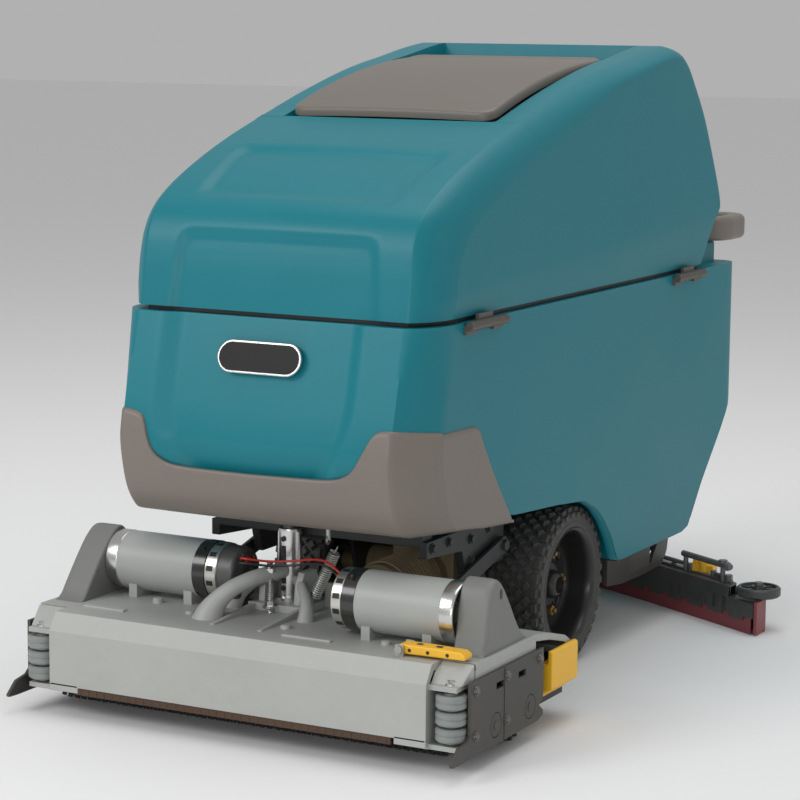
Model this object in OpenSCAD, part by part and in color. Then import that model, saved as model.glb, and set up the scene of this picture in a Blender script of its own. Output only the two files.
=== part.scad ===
// Walk-behind battery floor scrubber with a cylindrical-brush head.
// Front faces -Y, +X is the operator's left-hand side, the floor is z = 0.

/* [Tanks] */
// Half width of the flat front and top of the tanks
ribbon_half = 250; // [240:1:255]
// Half width of the tank sides
side_half = 292; // [288:1:294]
// Height of the seam between the two tanks
seam_z = 673; // [660:1:680]
// Height of the highest point of the machine
top_z = 1104; // [1100:1:1110]
// Thickness of the wrap-round bumper
bumper_wall = 12; // [8:1:14]

/* [Lid] */
// Half width of the lid
lid_half = 198; // [190:1:199]
// Length of the lid along its slope
lid_len = 462; // [440:1:464]
// Slope of the lid, front down
lid_slope = 10.6; // [10:0.1:11]

/* [Drive wheels] */
// Outer radius of the drive tyre
tyre_r = 146; // [140:1:146]
// Radius where tyre and rim meet
rim_r = 108; // [100:1:110]
// Inner plane of the tyre, from the centre line
tyre_in = 165; // [160:1:170]
// Outer plane of the tyre, from the centre line
tyre_out = 270; // [262:1:272]
// Position of the drive axle along the machine
axle_y = -32; // [-34:1:-30]

/* [Casters] */
// Radius of the caster wheel
caster_r = 50; // [45:1:50]
// Distance of each caster from the centre line
caster_x = 115; // [110:1:118]
// Position of the swivel axis along the machine
caster_y = 290; // [285:1:295]
// Trail of the caster wheel behind its swivel axis
caster_trail = 35; // [30:1:36]

/* [Scrub head] */
// Half width to the outer faces of the side plates
head_half = 416; // [414:1:418]
// Front face of the head
head_front = -757; // [-758:1:-756]
// Height of the top of the deck
deck_z = 172; // [170:1:174]
// Radius of the scrub brushes
brush_r = 61; // [58:1:61]
// Radius of the motor cans
motor_r = 50; // [46:1:50]
// Height of the motor axes
motor_z = 228; // [226:1:230]

/* [Squeegee] */
// Furthest rear point of the squeegee blade
squeegee_rear = 642; // [640:1:644]
// How steeply the blade sweeps forward to its ends
squeegee_sweep = 0.585; // [0.57:0.005:0.59]
// Half width of the blade
squeegee_half = 484; // [480:1:486]

/* [Handle] */
// Rearmost face of the handle
handle_rear = 792; // [788:1:792]
// Half width of the handle loop
handle_half = 290; // [280:1:292]

/* [Hidden] */
$fn = 64;

teal = [0.05, 0.42, 0.46];
taupe = [0.42, 0.39, 0.37];
cast_grey = [0.55, 0.57, 0.58];
dark = [0.16, 0.16, 0.17];
black = [0.05, 0.05, 0.05];
silver = [0.78, 0.79, 0.8];
yellow = [0.95, 0.7, 0.1];
red = [0.7, 0.08, 0.1];

axle_z = tyre_r;                       // drive wheels stand on the floor
run = 0.05;                            // radial clearance of a running fit
apart = 0.5;                           // gap between pieces that part company
frame_top = 300;                       // the tank rests on the frame rails here
lid_y = 228;                           // lid hinge axis
lid_z = 1078;
hinge_x = 302;                         // tank tip hinge axis
hinge_z = 668;
motor_front_y = -618;
motor_rear_y = -548;
brush_front_y = -641;
brush_rear_y = -516;
belt_x = 376;                          // middle of the belts, from the centre line
motor_pulley_r = 18;
brush_pulley_r = 27;                   // the belt turns the brush at two thirds of the motor's speed
post_x = -36;                          // lift post between head and chassis
post_y = -508;
tray_front = -450;
tray_rear = -338;
link_y = -215;                         // chassis pivot of the lift links
link_z = 250;
link_head = [-420, 200];               // head pivot of the lift links
pivot_y = 455;                         // lift pivot of the squeegee arm
pivot_z = 104;
swivel_y = 598;                        // swivel of the squeegee

// ---------------------------------------------------------------- shared shapes

// Round bar along X from x0 to x1
module bar_x(r, x0, x1, y, z) translate([x0, y, z]) rotate([0, 90, 0]) cylinder(r = r, h = x1 - x0);

// Round bar along Y from y0 to y1
module bar_y(r, y0, y1, x, z) translate([x, y0, z]) rotate([-90, 0, 0]) cylinder(r = r, h = y1 - y0);

// Round bar along Z from z0 to z1
module bar_z(r, z0, z1, x, y) translate([x, y, z0]) cylinder(r = r, h = z1 - z0);

// Block between two corners
module block(low, high) translate(low) cube(high - low);

// Side outline of [y, z] points, drawn from x0 to x1
module side_cut(points, x0, x1)
    translate([x0, 0, 0]) rotate([90, 0, 90]) linear_extrude(x1 - x0) polygon(points);

// Front outline of [x, z] points, drawn from y0 to y1
module front_cut(points, y0, y1)
    translate([0, y1, 0]) rotate([90, 0, 0]) linear_extrude(y1 - y0) polygon(points);

// Copy on both sides of the machine
module both_sides() {
    children();
    mirror([1, 0, 0]) children();
}

// Smallest convex body around a list of points
module convex(points) hull() polyhedron(points, [[for (i = [0:len(points) - 1]) i]]);

// Mirror a list of points so that it holds both sides
function pair(points) = concat(points, [for (p = points) [-p[0], p[1], p[2]]]);

// Outline of a belt round two wheels: centres a and b, radii ra and rb
function belt_line(a, ra, b, rb, n = 16) =
    let (d = b - a, gap = norm(d), along = atan2(d[1], d[0]), open = acos((ra - rb) / gap))
    concat([for (i = [0:n]) let (t = along + open + (360 - 2 * open) * i / n) a + ra * [cos(t), sin(t)]],
           [for (i = [0:n]) let (t = along - open + 2 * open * i / n) b + rb * [cos(t), sin(t)]]);

// Round cord along a list of points
function unit(v) = v / norm(v);
function heading(p, i) = unit(p[min(i + 1, len(p) - 1)] - p[max(i - 1, 0)]);
module cord(points, r, n = 8) {
    rings = [for (i = [0:len(points) - 1])
        let (t = heading(points, i), s = unit(cross(t, abs(t[2]) > 0.9 ? [1, 0, 0] : [0, 0, 1])), u = cross(s, t))
        for (k = [0:n - 1]) points[i] + r * (s * cos(360 * k / n) + u * sin(360 * k / n))];
    last = len(points) - 1;
    walls = [for (i = [0:last - 1]) for (k = [0:n - 1])
        [i * n + k, i * n + (k + 1) % n, (i + 1) * n + (k + 1) % n, (i + 1) * n + k]];
    polyhedron(rings, concat(walls, [[for (k = [0:n - 1]) n - 1 - k], [for (k = [0:n - 1]) last * n + k]]));
}

// ---------------------------------------------------------------- tanks

// Front and top outline of the machine, as [y, z] from the bottom of the bumper up
lower_front = [[-605, 329], [-645, 349], [-672, 388], [-688, 455], [-685, 500], [-665, 582], [-640, seam_z]];
front_lean = atan2(25, seam_z - 582);   // of the facet under the seam
upper_front = [[-630, seam_z + 8], [-620, 750], [-612, 800], [-596, 830], [-562, 860], [-491, 900],
    [-322, 960], [-192, 1000], [-67, 1030], [90, 1060], [234, 1080], [390, top_z]];
upper_edge = [[-551, seam_z + 8], [-539, 763], [-512, 803], [-427, 854], [-285, 911], [-167, 949],
    [-1, 1004], [176, 1052], [330, 1078]];
upper_rear = [[461, 1047], [533, 959], [599, 792], [571, 774], [534, seam_z + 8]];

// Outside of the lower tank, grown by a margin
module lower_shape(grow) {
    front = [for (p = lower_front) [ribbon_half, p[0] - grow, p[1]]];
    edge = [for (p = lower_front) [side_half + grow, p[0] + 76, p[1]]];
    rear = [for (z = [166, seam_z]) each [[ribbon_half, 705 + grow, z], [side_half + grow, 672, z]]];
    convex(pair(concat(front, edge, rear, [[side_half + grow, -500, 166], [ribbon_half, -560, 166]])));
}

module upper_shape() {
    front = [for (p = upper_front) [ribbon_half, p[0], p[1]]];
    edge = [for (p = upper_edge) [side_half - 2, p[0], p[1]]];
    rear = [for (p = upper_rear) each [[ribbon_half, p[0] + 8, p[1]], [side_half, p[0] - 22, p[1]]]];
    crease = [[side_half + 7, -134, 736], [side_half + 7, 560, 783]];
    convex(pair(concat(front, edge, rear, crease)));
}

// Space that the wrap-round bumper fills
module bumper_zone() {
    cut_out = [[-340, 250], [340, 250], [340, 516], [264, 511], [216, 494], [187, 452], [138, 430],
        [-103, 430], [-159, 445], [-191, 483], [-216, 502], [-264, 512], [-340, 516]];
    rear_edge = [[-720, 350], [-647, 350], [-625, 339], [-575, 336], [-430, 324], [-332, 318], [-416, 420],
        [-470, 520], [-720, 520]];
    intersection() {
        front_cut(cut_out, -720, -250);
        side_cut(rear_edge, -340, 340);
    }
}

module solution_tank() color(teal) {
    outline = [[-720, 335], [-490, 335], [-322, 329], [-33, 306], [59, 254], [103, 200], [118, 169],
        [133, 167], [463, 167], [538, 252], [630, 339], [705, 421], [705, seam_z], [-720, seam_z]];
    difference() {
        union() {
            intersection() {
                lower_shape(0);
                side_cut(outline, -320, 320);
            }
            block([-230, -440, frame_top], [230, -195, 345]);
            block([-250, 563, seam_z - 1], [250, 700, 715]);
        }
        difference() {
            bumper_zone();
            lower_shape(-bumper_wall);
        }
        block([-225, -400, 345], [225, 400, seam_z + 10]);
        block([-80, -600, 200], [80, -441, 420]);
        block([-210, -484, 200], [210, -440, 336]);
        block([-152, -206, 100], [152, 130, frame_top + apart]);
        both_sides() bar_x(tyre_r + 18, 150, 275, axle_y, axle_z);
    }
}

module tank_gasket() color(black) {
    difference() {
        front_half = [[242, -620], [280, -548], [280, 515], [242, 530]];
        outer = concat(front_half, [for (i = [3:-1:0]) [-front_half[i][0], front_half[i][1]]]);
        translate([0, 0, seam_z]) linear_extrude(7.5) polygon(outer);
        block([-228, -600, seam_z - 1], [228, 505, seam_z + 9]);
    }
}

module front_bumper() color(taupe) {
    difference() {
        intersection() {
            bumper_zone();
            lower_shape(2);
        }
        lower_shape(-bumper_wall);
        block([-81, -600, 200], [81, -441, 420]);
    }
}

// Blank oval badge on the front of the lower tank
module name_plate() color(silver)
    translate([-4, -657.3, 611]) rotate([90 - front_lean, 0, 0]) linear_extrude(5) {
        square([102, 54], center = true);
        for (x = [-51, 51]) translate([x, 0]) circle(27);
    }

module recovery_tank() color(teal) {
    inside = [[-606, 700], [-598, 790], [-574, 822], [-480, 874], [-320, 934], [-240, 946], [340, 1055],
        [452, 1034], [510, 950], [570, 790], [548, 775], [508, 700]];
    difference() {
        upper_shape();
        side_cut(inside, -232, 232);
        block([-268, -520, 700], [268, 505, 790]);
        translate([0, lid_y, lid_z]) rotate([lid_slope, 0, 0]) {
            block([-lid_half - 5, -lid_len - 12, -28], [lid_half + 5, 150, 60]);
            block([-150, -390, -60], [150, -60, 0]);
        }
        // flat under the lid hinge side so that the tank closes on its gasket
        block([-320, -700, seam_z - 20], [320, 700, seam_z + 8]);
    }
}

// Vacuum fan in its housing at the back of the recovery tank
module vacuum_fan() color(black) {
    bar_z(60, 700, 800, 0, 430);
    bar_z(40, 800, 860, 0, 430);
}

// Cage that holds the shut-off float under the tank top
module float_cage() color(silver) difference() {
    bar_z(24, 880, 985, -180, 60);
    bar_z(21, 883, 975, -180, 60);
    for (a = [0:45:135]) translate([-180, 60, 925]) rotate([0, 0, a]) cube([60, 6, 70], center = true);
}

// The two hinges on which the recovery tank tips sideways
hinge_places = [-455, 425];
module tank_hinges() color(dark) for (y = hinge_places) {
    for (e = [-1, 1]) {
        bar_y(8, y + e * 48 - 20, y + e * 48 + 20, hinge_x, hinge_z);
        block([side_half + 0.2, y + e * 48 - 20, 634], [hinge_x - 4, y + e * 48 + 20, hinge_z]);
    }
    bar_y(4, y - 30, y + 30, hinge_x, hinge_z);
}

module hinge_leaves() color(dark) for (y = hinge_places) difference() {
    union() {
        bar_y(8, y - 27, y + 27, hinge_x, hinge_z);
        block([side_half + 3, y - 27, seam_z - 2], [hinge_x + 1, y + 27, 696]);
    }
    bar_y(4 + run, y - 30, y + 30, hinge_x, hinge_z);
}

// ---------------------------------------------------------------- lid

module at_lid() translate([0, lid_y, lid_z]) rotate([lid_slope, 0, 0]) children();

module lid() color(taupe) at_lid() {
    difference() {
        union() {
            block([-lid_half, -lid_len, -20], [lid_half, -8, 3]);
            both_sides() bar_x(7, 120, 160, 0, -4);
            both_sides() block([125, -12, -11], [155, 0, 3]);
        }
        block([-lid_half + 8, -lid_len + 8, -21], [lid_half - 8, -30, -8]);
    }
}

module lid_seal() color(black) at_lid() difference() {
    block([-lid_half + 8, -lid_len + 8, -27], [lid_half - 8, -30, -8]);
    block([-lid_half + 26, -lid_len + 26, -28], [lid_half - 26, -48, -7]);
}

// ---------------------------------------------------------------- chassis

module chassis_frame() color(dark) {
    both_sides() {
        side_cut([[-480, 272], [-350, 262], [-336, 218], [-189, 218], [-189, frame_top], [-480, frame_top]], 192, 208);
        block([132, -205, 218], [208, -189, frame_top]);
        difference() {
            union() {
                side_cut([[-190, 218], [-190, frame_top], [112, frame_top], [112, 218], [60, 190], [30, 120],
                    [-94, 120], [-120, 218]], 132, 140);
            }
            bar_x(35 + apart, 100, 160, axle_y, axle_z);
        }
        block([132, 104, 150], [150, 126, frame_top]);
        // pivot lugs of the lift links
        bar_x(7, 208, 226, link_y, link_z);
        bar_x(14, 208, 214, link_y, link_z);
    }
    block([-200, -480, 290], [200, -446, 334]);
    block([-60, -470, 327], [60, -446, 372]);
    block([-60, -545, 350], [60, -446, 372]);
    // rear plate that carries the casters
    difference() {
        union() {
            block([-180, 122, 150], [180, 490, 166]);
            for (e = [-1, 1]) bar_z(32, 134, 150, e * caster_x, caster_y);
        }
        for (e = [-1, 1]) bar_z(12 + run, 130, 162, e * caster_x, caster_y);
    }
}

module battery_tray() color(black) difference() {
    block([-222, -395, 345], [222, 395, 390]);
    block([-216, -389, 349], [216, 389, 400]);
}

module batteries() color([0.2, 0.2, 0.22]) for (i = [0, 1], j = [0:2]) {
    block([-214 + i * 216, -386 + j * 259, 349], [-2 + i * 216, -132 + j * 259, 610]);
    for (p = [40, 172]) bar_z(9, 610, 628, -214 + i * 216 + p, -350 + j * 259);
}

// Drive motor and gearbox between the wheels, with the stub axles
module transaxle() color([0.72, 0.66, 0.55]) {
    block([-62, -92, 92], [62, 28, 204]);
    bar_x(35, 62, 152, axle_y, axle_z);
    bar_x(35, -152, -62, axle_y, axle_z);
    bar_x(15 - run, 152, 232, axle_y, axle_z);
    bar_x(15 - run, -232, -152, axle_y, axle_z);
    bar_y(50, -262, -92, 0, 150);
}

module squeegee_bracket() color(dark) {
    both_sides() {
        difference() {
            side_cut([[187, 100], [187, 150], [490, 150], [481, 116], [458, 92], [356, 90], [258, 92]], 236, 244);
            side_cut([[300, 104], [300, 138], [430, 138], [400, 104]], 230, 250);
        }
        block([62, 440, 90], [70, 470, 122]);
    }
    block([-236, 432, 122], [236, 480, 150]);
    bar_x(8, -70, 70, pivot_y, pivot_z);
}

module lift_actuator() color(silver) {
    bar_z(13 - run, 238, 350, post_x, post_y);
    bar_z(30, 372, 412, post_x, post_y);
    block([post_x - 22, post_y - 22, 372], [post_x + 90, post_y + 22, 404]);
    // eye bolt that holds the top of the spring
    bar_z(4, 300, 350, 55, -538);
    bar_x(4, 50, 60, -538, 300);
}

// ---------------------------------------------------------------- drive wheels and casters

module tyre() translate([tyre_in, axle_y, axle_z]) rotate([0, 90, 0]) {
    width = tyre_out - tyre_in;
    rotate_extrude($fn = 96)
        polygon([[rim_r, 4], [rim_r + 22, 0], [tyre_r - 12, 6], [tyre_r, 18], [tyre_r, width - 18],
            [tyre_r - 12, width - 6], [rim_r + 22, width], [rim_r, width - 4]]);
}

module rim() {
    nut_ring = 55;
    difference() {
        translate([tyre_in, axle_y, axle_z]) rotate([0, 90, 0]) rotate_extrude($fn = 96)
            polygon([[15, 30], [40, 30], [40, 38], [90, 38], [98, 8], [rim_r, 4], [rim_r, 101], [99, 101],
                [97, 46], [40, 46], [40, 58], [15, 58]]);
        for (a = [0:72:288]) bar_x(5, 195, 230, axle_y + nut_ring * cos(a), axle_z + nut_ring * sin(a));
    }
    for (a = [0:72:288]) translate([211, axle_y + nut_ring * cos(a), axle_z + nut_ring * sin(a)])
        rotate([0, 90, 0]) cylinder(r = 11, h = 12, $fn = 6);
}

module left_tyre() color(black) tyre();
module left_rim() color(dark) rim();
module right_tyre() color(black) mirror([1, 0, 0]) tyre();
module right_rim() color(dark) mirror([1, 0, 0]) rim();

module caster_fork() {
    bar_z(12, 120, 160, caster_x, caster_y);
    bar_z(30, 118, 133, caster_x, caster_y);
    for (e = [-1, 1])
        side_cut([[caster_y - 26, 124], [caster_y + 26, 124], [caster_y + caster_trail + 14, 44],
            [caster_y + caster_trail - 14, 36]], caster_x + e * 23 - 3, caster_x + e * 23 + 3);
    block([caster_x - 26, caster_y - 26, 112], [caster_x + 26, caster_y + 26, 124]);
    bar_x(8 - run, caster_x - 28, caster_x + 28, caster_y + caster_trail, caster_r);
}

module caster_wheel() difference() {
    bar_x(caster_r, caster_x - 16, caster_x + 16, caster_y + caster_trail, caster_r);
    bar_x(8, caster_x - 20, caster_x + 20, caster_y + caster_trail, caster_r);
}

module left_caster_fork() color(silver) caster_fork();
module left_caster_wheel() color(black) caster_wheel();
module right_caster_fork() color(silver) mirror([1, 0, 0]) caster_fork();
module right_caster_wheel() color(black) mirror([1, 0, 0]) caster_wheel();

// ---------------------------------------------------------------- scrub head

right_tower = [[-662, 160], [-638, 280], [-625, 285], [-605, 278], [-560, 240], [-525, 187], [-500, 160]];
left_tower = [[-666, 160], [-628, 217], [-562, 280], [-540, 280], [-522, 268], [-496, 176], [-496, 160]];

// Belt tower that stands on the deck over one end of a brush, and the room for its belt
module tower_wall(outline) side_cut(outline, 350, 404);
module belt_room(axis_y, low_y) {
    side_cut(belt_line([axis_y, motor_z], 25, [low_y, brush_r], 34), 357, 397);
    bar_x(12, 340, 360, axis_y, motor_z);
}

module head_deck() color(cast_grey) {
    apron = [[head_front, 52], [head_front, 143], [-738, deck_z], [-690, deck_z], [-690, 160], [-731, 160],
        [-749, 140], [-749, 52]];
    cover = [[-700, 160], [-700, deck_z], [-480, deck_z], [-429, 163], [-370, 147], [-320, 118], [-314, 70],
        [-322, 70], [-328, 112], [-374, 137], [-431, 152], [-482, 160]];
    difference() {
        union() {
            side_cut(apron, -352, 352);
            side_cut(cover, -409.5, 409.5);
            tower_wall(right_tower);
            mirror([1, 0, 0]) tower_wall(left_tower);
            // saddles under the motors
            for (m = [[1, motor_front_y], [-1, motor_rear_y]], x = [190, 300])
                translate([m[0] * x - 8, m[1] - 38, deck_z - 2]) cube([16, 76, 28]);
        }
        bar_x(motor_r + 0.3, 120, 345, motor_front_y, motor_z);
        bar_x(motor_r + 0.3, -345, -90, motor_rear_y, motor_z);
        belt_room(motor_front_y, brush_front_y);
        mirror([1, 0, 0]) belt_room(motor_rear_y, brush_rear_y);
    }
    // rib and yoke that carry the lift post
    difference() {
        block([-86, -560, deck_z - 2], [20, -466, 184]);
        bar_z(13, 174, 200, post_x, post_y);
    }
    for (x = [-80, 10]) side_cut([[-690, 170], [-690, 174], [-559, 183], [-559, 170]], x, x + 8);
    // corner tabs and pins for the rollers
    both_sides() {
        block([350, -748, 134], [400, -710, 142]);
        block([350, -748, 40], [400, -710, 48]);
        block([344, -750, 40], [352, -710, 142]);
        bar_z(6, 47, 135, 383, -731);
    }
    // ears and pin of the latch lever
    for (y = [-720, -684]) block([278, y, deck_z - 2], [292, y + 4, 190]);
    bar_y(4, -717, -683, 285, 183);
    // ears that take the lift links
    both_sides() {
        block([224, -444, 145], [232, -404, 214]);
        bar_x(6, 211, 226, link_head[0], link_head[1]);
    }
}

module side_plates() color(dark) both_sides() difference() {
    side_cut([[-792, 33], [-769, 53], [-740, 58], [-730, 66], [-730, 148], [-466, 148], [-466, 65], [-481, 55], [-466, 44],
        [-465, 36], [-484, 30], [-768, 28], [-790, 29]], head_half - 6, head_half);
    bar_x(20, 400, 430, brush_front_y, brush_r);
    bar_x(20, 400, 430, brush_rear_y, brush_r);
    for (y = [-640, -560]) block([400, y, 118], [430, y + 26, 128]);
}

bolt_places = [[-712, 132], [-712, 60], [-602, 132], [-602, 60], [-480, 132]];
module head_bolts() color(silver) both_sides()
    for (p = bolt_places) translate([head_half, p[0], p[1]]) rotate([0, 90, 0]) cylinder(r = 8, h = 5, $fn = 6);

module front_motor() color(cast_grey) {
    bar_x(motor_r, 175, 325, motor_front_y, motor_z);
    bar_x(motor_r - 4, 131, 150, motor_front_y, motor_z);
}

module rear_motor() color(cast_grey) mirror([1, 0, 0]) {
    bar_x(motor_r, 175, 325, motor_rear_y, motor_z);
    bar_x(motor_r - 4, 95, 150, motor_rear_y, motor_z);
}

// Steel bands at both ends of each motor
module motor_bands() color(silver) for (m = [[0, motor_front_y], [1, motor_rear_y]]) mirror([m[0], 0, 0]) {
    bar_x(motor_r, 150, 175, m[1], motor_z);
    bar_x(motor_r - 1, 325, 350, m[1], motor_z);
}

module brush_skirt() color([0.3, 0.2, 0.14]) {
    block([-345, -756, 40], [345, -750, 52]);
    block([-345, -321, 24], [345, -315, 70]);
}

// Slotted tube that slides on the actuator rod
module lift_tube() color(silver) difference() {
    union() {
        bar_z(20, 184, 306, post_x, post_y);
        bar_z(28, 184, 190, post_x, post_y);
    }
    bar_z(13, 190, 320, post_x, post_y);
    translate([post_x - 4, post_y - 30, 214]) cube([8, 20, 64]);
}

spring_top = [73, -538, 290];
spring_low = [25, -538, 190];
module lift_spring() color(dark) cord([spring_low, spring_top], 9, 16);

wire_path = [[-100, -580, 268], [-92, -592, 266], [-70, -588, 262], [-40, -570, 258], [0, -560, 262], [40, -566, 270],
    [78, -584, 274], [110, -606, 268], [128, -618, 258]];
module motor_wires() color(red) {
    cord(wire_path, 2);
    cord([for (p = wire_path) p + [0, -2, -8]], 2);
}

module drive_belts() color(black) {
    for (m = [[0, motor_front_y, brush_front_y], [1, motor_rear_y, brush_rear_y]]) mirror([m[0], 0, 0]) difference() {
        side_cut(belt_line([m[1], motor_z], motor_pulley_r + 3.5, [m[2], brush_r], brush_pulley_r + 3.5),
            belt_x - 9, belt_x + 9);
        side_cut(belt_line([m[1], motor_z], motor_pulley_r + 0.5, [m[2], brush_r], brush_pulley_r + 0.5),
            belt_x - 20, belt_x + 20);
    }
}

// Links that guide the head as it rises
module lift_links() color(dark) both_sides() difference() {
    slope = (link_head[1] - link_z) / (link_head[0] - link_y);
    union() {
        side_cut([[link_head[0], link_head[1] - 15], [link_head[0], link_head[1] + 15], [link_y, link_z + 15],
            [link_y, link_z - 15]], 215, 222);
        bar_x(22, 215, 222, link_head[0], link_head[1]);
        bar_x(16, 215, 222, link_y, link_z);
    }
    bar_x(7 + run, 210, 230, link_y, link_z);
    bar_x(15, 210, 230, link_head[0], link_head[1]);
}

// ---------------------------------------------------------------- brushes and drive

module brush(y) {
    bar_x(brush_r, -398, 340, y, brush_r);
    bar_x(14, 340, 361, y, brush_r);
    bar_x(brush_pulley_r, 361, 391, y, brush_r);
}

module pulley(y) {
    bar_x(motor_pulley_r, belt_x - 12, belt_x + 12, y, motor_z);
    bar_x(8, 352, belt_x - 11, y, motor_z);
}

module front_brush() color([0.2, 0.3, 0.6]) brush(brush_front_y);
module rear_brush() color([0.2, 0.3, 0.6]) mirror([1, 0, 0]) brush(brush_rear_y);
module front_pulley() color(silver) pulley(motor_front_y);
module rear_pulley() color(silver) mirror([1, 0, 0]) pulley(motor_rear_y);

// Lever that locks the front brush plate, on its cross pin
module head_latch() color(yellow) difference() {
    union() {
        block([285, -714.5, 175], [396, -685.5, 191]);
        bar_y(8, -714.5, -685.5, 285, 183);
    }
    bar_y(4 + run, -720, -680, 285, 183);
    for (x = [316, 350]) bar_z(5, 182, 195, x, -700);
}

module debris_tray() color(dark) difference() {
    block([-392, tray_front, 40], [392, tray_rear, 106]);
    block([-389, tray_front + 3, 43], [389, tray_rear - 3, 120]);
}

module tray_handle() color(yellow) difference() {
    union() {
        block([392, tray_front + 8, 45], [420, tray_rear, 112]);
        block([410.5, tray_front + 8, 100], [420, tray_rear, 135]);
    }
    bar_y(26, tray_front - 10, tray_rear + 10, 420, 40);
}

module roller_stack() for (z = [54, 80, 106]) difference() {
    bar_z(25, z, z + 22, 383, -731);
    bar_z(6 + run, z - 1, z + 23, 383, -731);
}

module left_rollers() color(cast_grey) {
    roller_stack();
    difference() {
        bar_z(12, 52, 130, 383, -731);
        bar_z(6 + run, 50, 132, 383, -731);
    }
}
module right_rollers() color(cast_grey) mirror([1, 0, 0]) left_rollers();

// ---------------------------------------------------------------- squeegee

// Rear line of the squeegee blade
function sweep(x) = squeegee_rear - squeegee_sweep * (sqrt(x * x + 3600) - 60);

// Band that follows the blade line between two offsets
module swept(back, front, z0, z1, half) {
    line = [for (i = [-12:12]) half * i / 12];
    rear_side = [for (x = line) [x, sweep(x) - back]];
    front_side = [for (i = [24:-1:0]) [line[i], sweep(line[i]) - front]];
    translate([0, 0, z0]) linear_extrude(z1 - z0) polygon(concat(rear_side, front_side));
}

module squeegee_arm() color(dark) difference() {
    union() {
        translate([0, 0, 92]) linear_extrude(10)
            polygon([[-50, pivot_y - 8], [50, pivot_y - 8], [24, swivel_y + 16], [-24, swivel_y + 16]]);
        bar_x(14, -58, 58, pivot_y, pivot_z);
    }
    bar_x(8 + run, -80, 80, pivot_y, pivot_z);
    bar_z(10 + run, 80, 120, 0, swivel_y);
}

module squeegee_frame() color(dark) {
    swept(7.5, 41, 30, 58, 478);
    swept(7.5, 41, 57, 80, 412);
    bar_z(10, 78, 116, 0, swivel_y);
    bar_z(18, 102.5, 108, 0, swivel_y);
    both_sides() {
        block([446, 372, 57], [472, 386, 64]);
        block([440, 370, 63], [480, 412, 65.5]);
        bar_z(6, 64, 92, 466, 401);
    }
}

module squeegee_blades() color(red) {
    swept(0, 5.5, 0, 62, squeegee_half);
    swept(43, 48.5, 0, 58, 470);
}

// Yellow cam lever that clamps the blade to its frame
module squeegee_clamp() color(yellow) difference() {
    union() {
        block([300, 468, 81], [348, 496, 98]);
        bar_z(14, 81, 104, 324, 482);
    }
    bar_z(4, 80, 84, 324, 482);
}

module guide_wheel() difference() {
    bar_z(42, 66, 84, 466, 401);
    bar_z(6 + run, 60, 90, 466, 401);
}
module left_guide_wheel() color(dark) guide_wheel();
module right_guide_wheel() color(dark) mirror([1, 0, 0]) guide_wheel();

// ---------------------------------------------------------------- handle and controls

module round_plate(x0, x1, y0, y1, r) {
    translate([x0 + r, y0]) square([x1 - x0 - 2 * r, y1 - y0]);
    translate([x0, y0 + r]) square([x1 - x0, y1 - y0 - 2 * r]);
    for (x = [x0 + r, x1 - r], y = [y0 + r, y1 - r]) translate([x, y]) circle(r);
}

module handle() color(taupe) {
    difference() {
        translate([0, 0, 715.5]) linear_extrude(48) difference() {
            round_plate(-handle_half, handle_half, 625, handle_rear, 60);
            round_plate(-handle_half + 36, handle_half - 36, 661, handle_rear - 36, 30);
        }
        block([-182, 618, 700], [182, 702, 780]);
    }
}

panel_low = [702, 742];
panel_top = [660, 812];
module on_panel(x, along) translate([x, panel_low[0] + (panel_top[0] - panel_low[0]) * along,
    panel_low[1] + (panel_top[1] - panel_low[1]) * along]) rotate([-59, 0, 0]) children();

module console() color(dark) difference() {
    side_cut([[620, 715.5], [620, 812], [660, 812], [702, 742], [702, 715.5]], -180, 180);
    on_panel(0, 0.55) block([-62, -26, -8], [62, 26, 8]);
    on_panel(-120, 0.55) bar_z(11, -30, 10, 0, 0);
    on_panel(120, 0.7) bar_z(9, -24, 10, 0, 0);
    on_panel(120, 0.25) bar_z(8, -24, 10, 0, 0);
    on_panel(-150, 0.2) bar_z(6 + run, -24, 10, 0, 0);
    block([-130, 690, 718], [130, 710, 734]);
}

module display() color([0.1, 0.15, 0.2]) on_panel(0, 0.55) block([-61, -25, -8], [61, 25, 1]);

module emergency_stop() color(red) on_panel(-120, 0.55) {
    bar_z(10.9, -12, 14, 0, 0);
    bar_z(18, 8, 20, 0, 0);
}

module key_switch() color(silver) on_panel(120, 0.7) {
    bar_z(8.9, -16, 3, 0, 0);
    block([-2, -8, 3], [2, 8, 26]);
}

module speed_dial() color(black) on_panel(120, 0.25) {
    bar_z(7.9, -16, 4, 0, 0);
    bar_z(16, 4, 16, 0, 0);
}

module start_button() color([0.2, 0.6, 0.3]) on_panel(-150, 0.2) {
    bar_z(5.95, -12, 6, 0, 0);
}

// Bail that the operator pushes to drive
module drive_paddle() color(black) {
    bar_x(7, -120, 120, 726, 726);
    for (x = [-120, 106]) side_cut([[700, 720], [700, 732], [726, 733], [726, 719]], x, x + 14);
    bar_x(6, -120, 120, 700, 726);
}

chassis_frame();
solution_tank();
tank_gasket();
battery_tray();
batteries();
front_bumper();
name_plate();
transaxle();
tank_hinges();
squeegee_bracket();
console();
display();
handle();
lift_actuator();
recovery_tank();
vacuum_fan();
float_cage();
hinge_leaves();
lid();
lid_seal();
left_tyre();
left_rim();
right_tyre();
right_rim();
left_caster_fork();
left_caster_wheel();
right_caster_fork();
right_caster_wheel();
head_deck();
side_plates();
head_bolts();
front_motor();
rear_motor();
motor_bands();
brush_skirt();
lift_tube();
lift_spring();
motor_wires();
drive_belts();
lift_links();
front_brush();
rear_brush();
front_pulley();
rear_pulley();
head_latch();
debris_tray();
tray_handle();
left_rollers();
right_rollers();
squeegee_arm();
squeegee_frame();
squeegee_blades();
squeegee_clamp();
left_guide_wheel();
right_guide_wheel();
drive_paddle();
key_switch();
emergency_stop();
speed_dial();
start_button();
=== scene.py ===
import itertools
import math

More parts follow.
